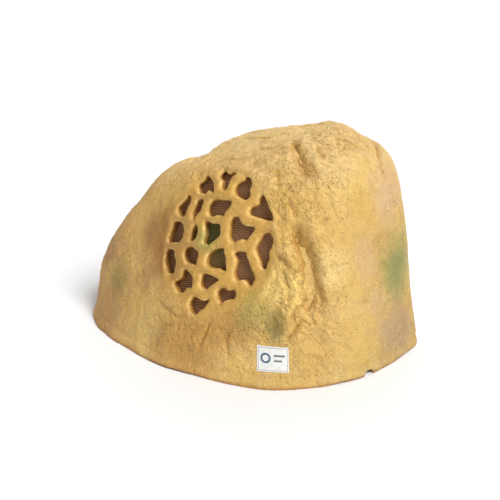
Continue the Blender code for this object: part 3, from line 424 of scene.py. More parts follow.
def polyline_distance(p, line, out):
    """Distance from each point to the line, how far along it 0..1, and the signed distance to the line's right seen from outside."""
    best = np.full(len(p), 1e9)
    along = np.zeros(len(p))
    side = np.zeros(len(p))
    n = len(line) - 1
    for i in range(n):
        a, b = line[i], line[i + 1]
        ab = b - a
        t = np.clip(((p - a) @ ab) / (ab @ ab), 0, 1)
        away = p - a - t[:, None] * ab
        d = np.linalg.norm(away, axis=1)
        nearer = d < best
        best = np.where(nearer, d, best)
        along = np.where(nearer, (i + t) / n, along)
        right = np.cross(out, ab / np.linalg.norm(ab))
        side = np.where(nearer, (away * right).sum(1), side)
    return best, along, side


def crease_line(points):
    """The crease's points on the form, with extra ones between."""
    q = heading(np.radians(np.array([c[0] for c in points], float)), np.radians(np.array([c[1] for c in points], float)))
    at = np.linspace(0, len(points) - 1, 6 * len(points))
    q = np.stack([np.interp(at, range(len(points)), q[:, i]) for i in range(3)], -1)
    line_az, line_el = angles(q / np.linalg.norm(q, axis=1)[:, None])
    return on_form(np.radians(line_az), np.radians(line_el))


def zone(az, el, a, e, wa, we):
    """1 at the middle of a patch of the surface, falling to 0."""
    da = ((az - a + 180) % 360 - 180) * np.cos(np.radians(el))
    return np.exp(-((da / wa) ** 2) - ((el - e) / we) ** 2)


FLOW = np.array([0.46, 0.46, -0.76]) / np.linalg.norm([0.46, 0.46, -0.76])


def along_flow(p):
    """The points squeezed along the way the wrinkles run, so that noise over them is drawn out that way."""
    return p - 0.52 * (p @ FLOW)[:, None] * FLOW


def wrinkle_zones(p, az, el):
    """0 where the moulding is smooth, 1 where it is strongly wrinkled."""
    total = 1.15 * zone(az, el, 58, 6, 13, 22) + 0.6 * zone(az, el, 60, 42, 24, 15) + 0.6 * zone(az, el, 44, -16, 24, 9)
    total += 0.42 * zone(az, el, 30, 66, 90, 17) + 0.38 * zone(az, el, 100, 56, 26, 10) + 0.35 * zone(az, el, -34, 34, 26, 20)
    total += 0.45 * zone(az, el, 0, -20, 30, 9) + 0.35 * zone(az, el, -45, -6, 22, 16) + 0.7 * zone(az, el, 200, 18, 55, 40) + 0.4 * zone(az, el, 262, 20, 26, 40)
    return np.clip(total * (0.85 + 0.5 * fractal(p, 34, 2, 91.0)) + 0.06, 0, 1)


def relief(p, d, out, web):
    """(height in mm, hollow 0..1, wrinkle 0..1) of the carved surface over the plain form. web is 1 on the rib grille."""
    az, el = angles(d)
    rock = 1 - web
    z = p[:, 2]
    wrinkled = wrinkle_zones(p, az, el)
    flow = along_flow(p)
    height = 1.5 * fractal(p, 62, 2, 3.1)
    height += (0.45 + 0.75 * wrinkled) * fractal(p, 26, 3, 11.7)
    height += (0.10 + 1.0 * wrinkled) * fractal(flow, 8.5, 3, 5.3)
    ledge = fractal(flow, 15, 3, 61.0)
    height += 1.3 * wrinkled * smooth_step(ledge, -0.07, 0.07) * smooth_step(np.abs(fractal(p, 30, 1, 47.0)), 0.02, 0.2)
    height *= rock * 0.94 + 0.06
    fine = np.clip(ridged(flow, 14, 21.0) - 0.80, 0, 1) * 5.0
    height -= fine * (0.04 + 1.15 * wrinkled) * rock
    hollow = 0.45 * fine * wrinkled * rock
    wobble = 2.6 * fractal(p, 14, 3, 33.0)
    for name, points, width, depth, shoulders, *ratio in CREASES:
        dist, along, side = polyline_distance(p, crease_line(points), out)
        near = dist < 50
        width = np.interp(along, np.linspace(0, 1, len(width)), width) if isinstance(width, list) else width
        depth = np.interp(along, np.linspace(0, 1, len(depth)), depth) if isinstance(depth, list) else depth
        swing = wobble * np.minimum(1.0, width / 4.0)
        at_side = side + swing
        dist = np.sqrt(np.maximum(dist**2 - side**2, 0) + at_side**2)
        ends = smooth_step(along, 0.0, 0.2) * (1 - smooth_step(along, 0.8, 1.0))
        slack = np.where(at_side > 0, ratio[0], 1.0) if ratio else 1.0
        groove = np.exp(-((dist / (width * slack)) ** 1.7)) * ends * near
        height -= depth * groove * rock
        for offset, half, rise in shoulders:
            height += rise * np.exp(-(((at_side - offset) / half) ** 2)) * ends * near * np.exp(-((np.maximum(dist - abs(offset) - half, 0) / 6.0) ** 2)) * rock
        hollow = np.maximum(hollow, groove**1.3 * rock * np.minimum(1.0, depth / 3.2) * (0.35 if name == "dent_edge" else 1.0))
    height += 0.7 * (1 - smooth_step(z, 5.0, 11.0)) * rock
    height -= 0.5 * np.exp(-(((z - 12.0) / 2.2) ** 2)) * rock
    height += bell(az, el, FOOT)
    # flat ground under the label
    calm = smooth_step(az, 40.5, 42.0) * (1 - smooth_step(az, 55.0, 56.5)) * smooth_step(z, 16.0, 19.0) * (1 - smooth_step(z, 45.5, 48.5))
    height *= 1 - calm
    hollow *= 1 - calm
    return height, np.clip(hollow, 0, 1), wrinkled * rock * (1 - calm)


# ================================================================ the shell's mesh
SPACING = 1.95
WEB_SPACING = 1.55
INNER_SPACING = 8.0

count = int(mean_run / SPACING)
fractions = np.concatenate([[0.0, 0.5 / mean_run, 1.3 / mean_run], np.linspace(2.4 / mean_run, 1, count)[:-1]])
spacings = np.interp(fractions * mean_run, [0, 3, 10, 14], [1.5, 1.5, 1.7, SPACING])
az, el, f, row = rows_over_form(fractions, spacings)
body_p = on_form(az, el)
bu, bv = to_web(body_p)
facing = (body_p - WEB_ORIGIN) @ W > -60
far = ~((np.hypot(bu - WEB_MIDDLE[0], bv - WEB_MIDDLE[1]) < WEB_RADIUS) & facing)
az, el, f, row = az[far], el[far], f[far], row[far]

# the web's own even points, clear of the openings and of the rings along their edges
g = np.arange(-WEB_RADIUS, WEB_RADIUS, WEB_SPACING)
gu, gv = np.meshgrid(g, np.arange(-WEB_RADIUS, WEB_RADIUS, WEB_SPACING * 0.866))
gu = gu + (np.arange(len(gu)) % 2)[:, None] * WEB_SPACING / 2
gu, gv = gu.ravel() + WEB_MIDDLE[0], gv.ravel() + WEB_MIDDLE[1]
keep = np.hypot(gu - WEB_MIDDLE[0], gv - WEB_MIDDLE[1]) < WEB_RADIUS - 0.6
gu, gv = gu[keep], gv[keep]
guv = np.stack([gu, gv], -1)
gd = rib_distance(guv)
keep = ~inside_loops(guv) & (gd > 1.75)
guv, gd = guv[keep], gd[keep]

RINGS = (0.0, 0.14, 0.5, 1.1)
ring_uv, ring_ids = [], []
at = 0
for loop in LOOPS:
    ids = []
    for s in RINGS:
        ring_uv.append(loop_offset(loop, s))
        ids.append(np.arange(at, at + len(loop)))
        at += len(loop)
    ring_ids.append(ids)
ring_uv = np.concatenate(ring_uv)
w_az, w_el, w_p = onto_form(np.concatenate([ring_uv[:, 0], guv[:, 0]]), np.concatenate([ring_uv[:, 1], guv[:, 1]]))
w_f = climb(w_az, w_el)
n_ring, n_web = len(ring_uv), len(ring_uv) + len(guv)

top_az, top_el, top_f = np.array([0.0]), np.array([math.pi / 2]), np.array([1.0])
all_az = np.concatenate([w_az, az, top_az])
all_el = np.concatenate([w_el, el, top_el])
all_f = np.concatenate([w_f, f, top_f])
chart = flat_chart(all_az, all_f)
edges = [(int(i), int(j)) for ids in ring_ids for i, j in zip(ids[0], np.roll(ids[0], -1))]
cdt_v, _, cdt_f, ids_v, _, _ = delaunay_2d_cdt([Vector(c) for c in chart], edges, [], 0, 1e-9, True)
assert len(cdt_v) == len(chart), (len(cdt_v), len(chart))
back = np.array([o[0] for o in ids_v])
tri = back[np.array([list(t) for t in cdt_f])]
loop_of = np.full(len(chart), -1)
for k, ids in enumerate(ring_ids):
    loop_of[ids[0]] = k
in_loop = (loop_of[tri] >= 0).all(1) & (loop_of[tri][:, 0] == loop_of[tri][:, 1]) & (loop_of[tri][:, 1] == loop_of[tri][:, 2])
centre_uv = ring_uv[np.minimum(tri, n_ring - 1)].mean(1)
drop = np.zeros(len(tri), bool)
sel = np.where(in_loop)[0]
drop[sel] = inside_loops(centre_uv[sel])
tri = tri[~drop]

# outer points: form, then relief, then the rounding of ribs and rim
d = heading(all_az, all_el)
p = CENTRE + d * radius(d)[:, None]
p[:n_web] = w_p
n_hat = form_normal(all_az, all_el)
uu, vv = to_web(p)
web_r = np.hypot(uu - WEB_MIDDLE[0], vv - WEB_MIDDLE[1])
on_web_side = (p - WEB_ORIGIN) @ W > -60
web = np.where(on_web_side, 1 - smooth_step(web_r, 68, 84), 0.0)
height, hollow, wrinkle = relief(p, d, n_hat, web)
outer = p + n_hat * height[:, None]
outer[:, 2] = np.where(all_f <= 0, p[:, 2], outer[:, 2])

outer[:, 2] += rim_lift(angles(d)[0]) * (1 - smooth_step(p[:, 2], 0.0, 14.0))
rib = np.full(len(p), 99.0)
near = np.where(on_web_side & (web_r < WEB_RADIUS + 2))[0]
rib[near] = rib_distance(np.stack([uu[near], vv[near]], -1))
rib[:n_ring] = np.concatenate([np.concatenate([np.full(len(ids[j]), s) for j, s in enumerate(RINGS)]) for ids in ring_ids])
ROUND = 4.4
s = np.clip(rib, 0, ROUND)
fall = ROUND - np.sqrt(np.maximum(ROUND**2 - (ROUND - s) ** 2, 0))
outer -= W * (fall * 0.98)[:, None]
lump = 0.7 * fractal(p, 12, 2, 71.0) + 0.4 * fractal(p, 5.0, 2, 77.0)
outer += n_hat * (lump * web)[:, None]
# shallow scoops beside some openings
for u0, v0, ru, rv, mm in ((-49, 63, 8, 8, 2.4), (-17, 80, 9, 5, 2.2), (-68, 38, 8, 7, 2.0), (-78, -2, 7, 9, 1.2), (-46, -48, 8, 8, 2.0), (-18, -58, 8, 7, 1.6), (16, 78, 8, 6, 1.6), (-74, -28, 6, 9, 1.4), (38, 66, 6, 5, 1.2)):
    outer -= n_hat * (on_web_side * mm * np.exp(-(((uu - u0) / ru) ** 2) - ((vv - v0) / rv) ** 2))[:, None]
# the grille lies a little under the rock round its top and right
angle = np.degrees(np.arctan2(vv - WEB_MIDDLE[1], uu - WEB_MIDDLE[0]))
sunk = np.where(on_web_side, 1 - smooth_step(web_r, 70, 80), 0.0)
sunk *= smooth_step(angle, -60, -10) * (1 - smooth_step(angle, 120, 160)) * 1.1 + 0.4
outer -= n_hat * sunk[:, None]
# rim edge drawn in
edge_in = np.interp(all_f * mean_run, [0, 0.5, 1.3, 2.4], [1.2, 0.45, 0.12, 0.0])
side = n_hat * np.array([1, 1, 0.0])
outer -= side * edge_in[:, None]

verts = [outer]
faces = [tuple(t) for t in tri]
total = len(outer)

# walls of the openings
WALL_DEEP = (0.5, 0.62, 0.8, 0.88, 1.0)
WALL_ROWS = ((6.0, 0.05), (7.6, -0.1), (9.2, -0.3), (9.8, -0.45), (WEB_DEPTH, -0.5))
WALL_LEAN = -2.4
wall_last, wall_deep = [], []
for k, (loop, ids) in enumerate(zip(LOOPS, ring_ids)):
    prev = ids[0]
    carved = n_hat[ids[0]] * (sunk[ids[0]] - height[ids[0]])[:, None]
    for (depth, off), shade in zip(WALL_ROWS, WALL_DEEP):
        wall_deep += [shade] * len(loop)
        row_uv = loop_offset(loop, off) + np.array([WALL_LEAN * depth / WEB_DEPTH, 0])
        pts = onto_form(row_uv[:, 0], row_uv[:, 1])[2] - carved - W * depth
        new = np.arange(total, total + len(loop))
        verts.append(pts)
        total += len(loop)
        m = len(loop)
        for j in range(m):
            n = (j + 1) % m
            faces.append((int(prev[j]), int(prev[n]), int(new[n])))
            faces.append((int(prev[j]), int(new[n]), int(new[j])))
        prev = new
    wall_last.append(prev)

# inner face: coarse rings, and the back of the web
i_count = int(mean_run / INNER_SPACING)
i_fr = np.concatenate([[0.0], np.linspace(3.0 / mean_run, 1, i_count)[:-1]])
i_sp = np.interp(i_fr * mean_run, [0, 4, 40], [2.5, 3.5, INNER_SPACING])
i_az, i_el, i_f, i_row = rows_over_form(i_fr, i_sp)
ip = on_form(i_az, i_el)
iu, iv = to_web(ip)
far = ~((np.hypot(iu - WEB_MIDDLE[0], iv - WEB_MIDDLE[1]) < WEB_RADIUS) & ((ip - WEB_ORIGIN) @ W > -60))
i_az, i_el, i_f = i_az[far], i_el[far], i_f[far]
g = np.arange(-WEB_RADIUS, WEB_RADIUS, 5.0)
hu, hv = [x.ravel() for x in np.meshgrid(g, g)]
huv = np.stack([hu + WEB_MIDDLE[0], hv + WEB_MIDDLE[1]], -1)
unleaned = huv - np.array([WALL_LEAN, 0])
keep = (np.hypot(hu, hv) < WEB_RADIUS - 3) & ~inside_loops(unleaned) & (rib_distance(unleaned) > 1.5)
huv = huv[keep]
back_loops = [loop_offset(l, WALL_ROWS[-1][1]) + np.array([WALL_LEAN, 0]) for l in LOOPS]
back_uv = np.concatenate(back_loops)
b_az, b_el, b_p = onto_form(np.concatenate([back_uv[:, 0], huv[:, 0]]), np.concatenate([back_uv[:, 1], huv[:, 1]]))
n_back = len(back_uv)
c_az = np.concatenate([b_az, i_az, top_az])
c_el = np.concatenate([b_el, i_el, top_el])
c_f = np.concatenate([climb(b_az, b_el), i_f, top_f])
c_chart = flat_chart(c_az, c_f)
edges, at = [], 0
starts = []
for l in back_loops:
    starts.append(at)
    edges += [(at + j, at + (j + 1) % len(l)) for j in range(len(l))]
    at += len(l)
cdt_v, _, cdt_f, ids_v, _, _ = delaunay_2d_cdt([Vector(c) for c in c_chart], edges, [], 0, 1e-9, True)
assert len(cdt_v) == len(c_chart)
backmap = np.array([o[0] for o in ids_v])
itri = backmap[np.array([list(t) for t in cdt_f])]
c_loop = np.full(len(c_chart), -1)
for k, l in enumerate(back_loops):
    c_loop[starts[k] : starts[k] + len(l)] = k
lt = c_loop[itri]
sel = np.where((lt[:, 0] >= 0) & (lt[:, 0] == lt[:, 1]) & (lt[:, 1] == lt[:, 2]))[0]
drop = np.zeros(len(itri), bool)
if len(sel):
    cu = back_uv[itri[sel]].mean(1)
    hit = np.zeros(len(sel), bool)
    for l in back_loops:
        ins = np.zeros(len(sel), bool)
        for (x0, y0), (x1, y1) in zip(l, np.roll(l, -1, 0)):
            if y1 != y0:
                ins ^= ((y0 > cu[:, 1]) != (y1 > cu[:, 1])) & (cu[:, 0] < (x1 - x0) * (cu[:, 1] - y0) / (y1 - y0) + x0)
        hit |= ins
    drop[sel] = hit
itri = itri[~drop]
cp = on_form(c_az, c_el)
cp[: len(b_p)] = b_p
cn = form_normal(c_az, c_el)
cu_, cv_ = to_web(cp)
cr = np.hypot(cu_ - WEB_MIDDLE[0], cv_ - WEB_MIDDLE[1])
cweb = np.where((cp - WEB_ORIGIN) @ W > -60, 1 - smooth_step(cr, 82, 90), 0.0)
mix = cn * (1 - cweb)[:, None] * WALL + W * (cweb * WEB_DEPTH)[:, None]
inner = cp - mix
inner[:, 2] = np.where(c_f <= 0, cp[:, 2], np.maximum(inner[:, 2], 0.0))
inner[:, 2] += rim_lift(angles(heading(c_az, c_el))[0]) * (1 - smooth_step(cp[:, 2], 0.0, 14.0))
offset = total
index = np.arange(len(inner)) + offset
for k, l in enumerate(back_loops):
    index[starts[k] : starts[k] + len(l)] = wall_last[k]
used = np.zeros(len(inner), bool)
verts.append(inner)
total += len(inner)
faces += [(int(index[c]), int(index[b]), int(index[a])) for a, b, c in itri]

# rim face between the outer and inner first rings
rim_out = np.where((all_f <= 0))[0]
rim_out = rim_out[np.argsort(all_az[rim_out] % (2 * math.pi))]
rim_in = np.where(c_f <= 0)[0]
rim_in = rim_in[np.argsort(c_az[rim_in] % (2 * math.pi))]
ao, ai = all_az[rim_out] % (2 * math.pi), c_az[rim_in] % (2 * math.pi)
i = j = 0
no, ni = len(rim_out), len(rim_in)
while i < no or j < ni:
    next_o = ao[(i + 1) % no] + (2 * math.pi if i + 1 >= no else 0)
    next_i = ai[(j + 1) % ni] + (2 * math.pi if j + 1 >= ni else 0)
    o0, i0 = int(rim_out[i % no]), int(index[rim_in[j % ni]])
    if j >= ni or (i < no and next_o <= next_i):
        faces.append((o0, i0, int(rim_out[(i + 1) % no])))
        i += 1
    else:
        faces.append((o0, i0, int(index[rim_in[(j + 1) % ni]])))
        j += 1

points = np.concatenate(verts)
mesh = bpy.data.meshes.new("rock")
mesh.from_pydata((points / 1000).tolist(), [], faces)
# hollow: how deep a point lies in a crease; the material paints shade in the folds from it
hollow_all = np.zeros(len(points))
hollow_all[: len(hollow)] = hollow
layer = mesh.attributes.new("hollow", "FLOAT", "POINT")
layer.data.foreach_set("value", hollow_all.astype(np.float32))
wrinkle_all = np.zeros(len(points))
wrinkle_all[: len(wrinkle)] = wrinkle
layer = mesh.attributes.new("wrinkle", "FLOAT", "POINT")
layer.data.foreach_set("value", wrinkle_all.astype(np.float32))
# rib_side: how far round into an opening a point lies; the material paints a highlight on the rib edges and shade
# deeper in from it
deep = np.zeros(len(points))
deep[: len(outer)] = np.clip(fall / ROUND, 0, 1) * 0.4
deep[len(outer) : offset] = wall_deep
deep[offset:] = 0.0
layer = mesh.attributes.new("rib_side", "FLOAT", "POINT")
layer.data.foreach_set("value", deep.astype(np.float32))
grille = np.zeros(len(points))
grille[: len(outer)] = web
grille[len(outer) : offset] = 1.0
layer = mesh.attributes.new("grille", "FLOAT", "POINT")
layer.data.foreach_set("value", grille.astype(np.float32))
bm = bmesh.new()
bm.from_mesh(mesh)
loose = [v for v in bm.verts if not v.link_faces]
bmesh.ops.delete(bm, geom=loose, context="VERTS")
bmesh.ops.recalc_face_normals(bm, faces=bm.faces)
open_edges = [e for e in bm.edges if len(e.link_faces) != 2]
print("rock:", len(bm.verts), "verts", len(bm.faces), "faces", len(open_edges), "edges not shared by two faces", "volume", bm.calc_volume() * 1e6)
bm.to_mesh(mesh)
bm.free()
mesh.polygons.foreach_set("use_smooth", np.ones(len(mesh.polygons), bool))
rock = bpy.data.objects.new("rock_shell_skin", mesh)
scene.collection.objects.link(rock)
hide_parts("rock_shell")
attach(rock, "cabinet")

# ================================================================ materials


def lin(r, g, b):
    """A colour from its 0-255 screen values."""
    return tuple(c / 12.92 if c <= 0.04045 else ((c + 0.055) / 1.055) ** 2.4 for c in (r / 255, g / 255, b / 255)) + (1.0,)


class Paint:
    """A material's node graph, built a step at a time. Positions and lengths are in mm."""

    def __init__(self, name):
        self.material = bpy.data.materials.new(name)
        self.material.use_nodes = True
        self.tree = self.material.node_tree
        self.skin = self.tree.nodes["Principled BSDF"]
        where = self.node("ShaderNodeTexCoord").outputs["Object"]
        self.mm = self.vector("SCALE", where, scale=1000.0)

    def put(self, socket, value):
        if isinstance(value, bpy.types.NodeSocket):
            self.tree.links.new(value, socket)
        else:
            socket.default_value = value

    def node(self, kind, values=(), **settings):
        n = self.tree.nodes.new(kind)
        for key, value in settings.items():
            setattr(n, key, value)
        for key, value in dict(values).items():
            self.put(n.inputs[key], value)
        return n

    def math(self, op, a, b=0.0, clamp=False):
        n = self.node("ShaderNodeMath", {0: a}, operation=op, use_clamp=clamp)
        if len(n.inputs) > 1:
            self.put(n.inputs[1], b)
        return n.outputs[0]

    def vector(self, op, a, b=None, scale=None):
        n = self.node("ShaderNodeVectorMath", {0: a}, operation=op)
        if b is not None:
            self.put(n.inputs[1], b)
        if scale is not None:
            self.put(n.inputs["Scale"], scale)
        return n.outputs["Value" if op in ("DISTANCE", "LENGTH", "DOT_PRODUCT") else "Vector"]

    def ramp(self, value, low, high, bottom=0.0, top=1.0):
        return self.node("ShaderNodeMapRange", {"Value": value, "From Min": low, "From Max": high, "To Min": bottom, "To Max": top}, interpolation_type="SMOOTHSTEP").outputs["Result"]

    def mix(self, amount, a, b, mode="MIX"):
        n = self.node("ShaderNodeMix", data_type="RGBA", blend_type=mode)
        for i, value in ((0, amount), (6, a), (7, b)):
            self.put(n.inputs[i], value)
        return n.outputs[2]

    def placed(self, size, stretch=(1, 1, 1), seed=0.0, source=None):
        return self.node("ShaderNodeMapping", {"Vector": source or self.mm, "Location": (seed, seed * 0.7, seed * 1.3), "Scale": tuple(s / size for s in stretch)}).outputs[0]

    def noise(self, size, detail=3.0, rough=0.55, stretch=(1, 1, 1), seed=0.0, twist=0.0, source=None):
        return self.node("ShaderNodeTexNoise", {"Vector": self.placed(size, stretch, seed, source), "Scale": 1.0, "Detail": detail, "Roughness": rough, "Distortion": twist}).outputs["Fac"]

    def cells(self, size, feature="F1", seed=0.0, stretch=(1, 1, 1), source=None):
        return self.node("ShaderNodeTexVoronoi", {"Vector": self.placed(size, stretch, seed, source), "Scale": 1.0}, feature=feature).outputs["Distance"]

    def spot(self, centre, reach, core=0.25, wander=0.35, seed=0.0, stretch=(1, 1, 1)):
        """1 within a patch, falling to 0 at reach mm, with a wandering edge."""
        offset = self.vector("MULTIPLY", self.vector("SUBTRACT", self.mm, tuple(float(c) for c in centre)), tuple(1 / s for s in stretch))
        away = self.math("ADD", self.vector("LENGTH", offset), self.math("MULTIPLY", self.math("SUBTRACT", self.noise(reach * 0.7, 3, 0.6, seed=seed + 3.3), 0.5), 2 * wander * reach))
        return self.ramp(away, reach, reach * core)

    def bump(self, height, depth, under=None, strength=1.0):
        n = self.node("ShaderNodeBump", {"Strength": strength, "Distance": depth / 1000.0, "Height": height})
        if under is not None:
            self.put(n.inputs["Normal"], under)
        return n.outputs["Normal"]

    def finish(self, colour, rough, normal=None, metal=0.0, specular=0.4):
        self.put(self.skin.inputs["Base Color"], colour)
        self.put(self.skin.inputs["Roughness"], rough)
        self.put(self.skin.inputs["Metallic"], metal)
        self.put(self.skin.inputs["Specular IOR Level"], specular)
        if normal is not None:
            self.put(self.skin.inputs["Normal"], normal)
        return self.material


def form_point(az_deg, el_deg):
    return on_form(np.radians(np.array([float(az_deg)])), np.radians(np.array([float(el_deg)])))[0]


# ---------------------------------------------------------------- painted rock
k = Paint("painted_rock")
hollow_v = k.node("ShaderNodeAttribute", attribute_name="hollow").outputs["Fac"]
side_v = k.node("ShaderNodeAttribute", attribute_name="rib_side").outputs["Fac"]
web_v = k.node("ShaderNodeAttribute", attribute_name="grille").outputs["Fac"]
wrinkle_v = k.node("ShaderNodeAttribute", attribute_name="wrinkle").outputs["Fac"]
normal_z = k.node("ShaderNodeSeparateXYZ", {0: k.node("ShaderNodeNewGeometry").outputs["Normal"]}).outputs["Z"]
pos = k.node("ShaderNodeSeparateXYZ", {0: k.mm})
height_mm = pos.outputs["Z"]
broad = k.noise(95, 3, 0.55, seed=2.0)
middle = k.noise(34, 4, 0.6, seed=9.0)
small = k.noise(9, 4, 0.62, seed=4.0)
tiny = k.noise(1.6, 3, 0.6, seed=1.0)

colour = k.mix(k.ramp(middle, 0.36, 0.66), lin(240, 200, 114), lin(240, 205, 132))
colour = k.mix(k.math("MULTIPLY", k.ramp(broad, 0.42, 0.66), 0.55), colour, lin(226, 180, 104))
# painted light from above: paler sand where the surface faces up
colour = k.mix(k.math("MULTIPLY", k.ramp(normal_z, 0.35, 0.95), 0.6), colour, lin(240, 206, 146))
# browner gold round the grille
colour = k.mix(k.math("MULTIPLY", k.spot(WEB_ORIGIN - U * 12, 150, core=0.45, wander=0.15, seed=40.0), 0.42), colour, lin(212, 160, 78))
# the ribs are a deeper gold
colour = k.mix(k.math("MULTIPLY", web_v, 0.78), colour, lin(206, 158, 74))
# tan and mauve sprayed over the low left side: partly the rock's own paint, partly painted shade on the side away from
# the light
away_side_tan_and_shade = k.ramp(k.vector("DOT_PRODUCT", k.mm, (-0.83, -0.50, 0.05)), 75, 175)
colour = k.mix(k.math("MULTIPLY", away_side_tan_and_shade, k.ramp(k.noise(60, 4, 0.6, seed=13.0), 0.25, 0.7, 0.45, 0.95)), colour, lin(200, 150, 88))
for (a, e), reach, amount, tint, seed in (
    # browner patches left of the grille: partly the rock's own paint, partly painted shade on the side away from the
    # light
    ((-18, 8), 50, 0.90, (164, 108, 50), 41.0),
    ((-22, 28), 40, 0.45, (190, 140, 76), 42.0),
    # painted shade under the grille, where the rock faces down and to the left
    ((8, -25), 66, 0.56, (184, 130, 62), 43.0),
    ((30, -15), 38, 0.66, (180, 128, 62), 49.0),
    ((42, 28), 24, 0.20, (206, 152, 76), 44.0),
    # painted shade in the valley of the main fold
    ((65, 8), 15, 0.40, (190, 140, 66), 45.0),
    ((54, 4), 36, 0.90, (255, 222, 134), 47.0),
    ((60, 30), 30, 0.45, (252, 212, 120), 48.0),
    # painted highlight along the ridge right of the main fold
    ((74, 12), 30, 0.55, (254, 222, 148), 46.0),
    # browner patch on the left flank: partly the rock's own paint, partly painted shade on the side away from the light
    ((-38, 14), 44, 0.78, (162, 112, 54), 1.0),
    ((-62, -4), 38, 0.55, (174, 132, 92), 2.0),
    ((-32, -8), 26, 0.45, (172, 126, 80), 3.0),
    ((-75, 20), 40, 0.40, (186, 142, 96), 4.0),
    ((-45, -22), 36, 0.35, (186, 142, 90), 5.0),
    ((106, -20), 46, 0.55, (196, 158, 132), 6.0),
    ((112, 32), 44, 0.50, (232, 190, 156), 7.0),
    ((92, 12), 30, 0.35, (226, 190, 158), 8.0),
    ((96, -8), 22, 0.40, (218, 178, 140), 9.0),
    ((93, 30), 34, 0.40, (232, 186, 90), 10.0),
    ((84, 4), 34, 0.30, (238, 198, 108), 11.0),
    ((150, 20), 55, 0.45, (206, 160, 104), 12.0),
    ((215, 12), 60, 0.40, (196, 150, 110), 13.0),
    ((255, 25), 50, 0.45, (200, 156, 116), 14.0),
    ((190, 60), 60, 0.35, (228, 190, 140), 15.0),
):
    off_ribs = k.ramp(web_v, 0.7, 0.1, 0.35, 1.0)
    colour = k.mix(k.math("MULTIPLY", k.math("MULTIPLY", k.spot(form_point(a, e), reach, seed=seed), amount), off_ribs), colour, lin(*tint))
# green airbrushed patches
for (a, e), reach, amount, tint, seed, stretch in (
    ((112, 3), 44, 0.84, (132, 150, 86), 21.0, (1, 1, 1.3)),
    ((-49, -12), 30, 0.62, (128, 126, 66), 22.0, (1, 1, 1)),
    ((40, -8), 34, 0.56, (154, 160, 84), 23.0, (1, 1, 0.9)),
    ((50, -12), 22, 0.88, (88, 96, 54), 24.0, (0.8, 0.8, 1.3)),
    ((6, 24), 24, 0.66, (150, 160, 84), 25.0, (1, 1, 1)),
    ((168, -6), 36, 0.65, (132, 142, 84), 26.0, (1, 1, 1)),
    ((232, 30), 32, 0.55, (128, 134, 76), 27.0, (1, 1, 1)),
):
    speckled = k.math("MULTIPLY", k.spot(form_point(a, e), reach, core=0.1, seed=seed, stretch=stretch), k.ramp(k.noise(2.2, 2, 0.7, seed=seed), 0.25, 0.6, 0.72, 1.0))
    colour = k.mix(k.math("MULTIPLY", speckled, amount), colour, lin(*tint))
# painted shade in the folds and grooves; darker brown in fine pits and in broken hair lines
crack_field = k.vector("ADD", k.mm, k.vector("SCALE", k.node("ShaderNodeTexNoise", {"Vector": k.placed(9.0, seed=6.0), "Scale": 1.0, "Detail": 3.0}).outputs["Color"], scale=9.0))
crack = k.cells(17, "DISTANCE_TO_EDGE", seed=5.0, source=crack_field)
crack_zone = k.ramp(k.noise(30, 3, 0.6, seed=17.0), 0.58, 0.68)
hair = k.math("MULTIPLY", k.math("MULTIPLY", k.ramp(crack, 0.030, 0.006), crack_zone), k.ramp(web_v, 0.6, 0.1))
pit = k.ramp(k.noise(2.6, 2, 0.5, seed=31.0), 0.36, 0.29)
pit = k.math("MULTIPLY", pit, k.ramp(k.noise(30, 3, 0.6, seed=8.0), 0.42, 0.62))
# painted shade in the folds and grooves, from the hollow attribute
colour = k.mix(k.math("MULTIPLY", hollow_v, k.ramp(small, 0.3, 0.6, 0.55, 0.9)), colour, lin(178, 124, 48))
colour = k.mix(k.math("MULTIPLY", hair, 0.30), colour, lin(156, 98, 38))
colour = k.mix(k.math("MULTIPLY", pit, 0.5), colour, lin(162, 106, 44))
colour = k.mix(k.math("MULTIPLY", wrinkle_v, 0.18), colour, lin(232, 182, 84))
flow_dot = k.vector("DOT_PRODUCT", k.mm, tuple(float(c) for c in FLOW))
flow_dot = k.node("ShaderNodeCombineXYZ", {0: flow_dot, 1: flow_dot, 2: flow_dot}).outputs[0]
flow = k.vector("SUBTRACT", k.mm, k.vector("MULTIPLY", flow_dot, tuple(float(c) * 0.58 for c in FLOW)))
bare = k.ramp(web_v, 0.95, 0.25, 0.0, 1.0)
strength = k.math("MULTIPLY", bare, k.math("ADD", k.math("MULTIPLY", wrinkle_v, 0.75), k.ramp(k.noise(42, 3, 0.6, seed=17.0), 0.48, 0.64, 0.06, 0.20)), True)


def lines(size, seed, width, twist=0.7):
    """Thin wandering lines, 1 at their middle."""
    n = k.noise(size, 4, 0.55, seed=seed, twist=twist, source=flow)
    return k.ramp(k.math("ABSOLUTE", k.math("SUBTRACT", n, 0.5)), width, 0.0)


line_a = k.math("MULTIPLY", k.math("MULTIPLY", lines(15, 51.0, 0.018), strength), k.ramp(k.noise(12, 2, 0.5, seed=71.0), 0.42, 0.58))
line_b = k.math("MULTIPLY", k.math("MULTIPLY", lines(8.0, 57.0, 0.024), strength), k.ramp(k.noise(9, 2, 0.5, seed=73.0), 0.45, 0.6))
ledges = k.ramp(k.noise(10, 4, 0.6, seed=63.0, twist=0.9, source=flow), 0.45, 0.55)
ledges_2 = k.ramp(k.noise(5.5, 3, 0.6, seed=67.0, twist=0.6, source=flow), 0.44, 0.56)
swell = k.noise(7.0, 3, 0.55, stretch=(1.1, 1.1, 0.8), seed=19.0, twist=0.6)
grain = k.noise(2.4, 3, 0.6, seed=23.0)
# painted light and shade on the openings: a painted highlight along the rib edges, painted shade darkening the walls
# deeper in, and a dark painted shadow where the walls meet the cloth
colour = k.mix(k.math("MULTIPLY", k.math("MULTIPLY", k.ramp(side_v, 0.02, 0.14), k.ramp(side_v, 0.42, 0.22)), k.ramp(small, 0.35, 0.65, 0.0, 0.55)), colour, lin(250, 216, 142))
colour = k.mix(k.math("MULTIPLY", k.ramp(side_v, 0.25, 0.7), 0.7), colour, lin(186, 132, 54))
colour = k.mix(k.ramp(side_v, 0.86, 0.97), colour, lin(70, 44, 22))
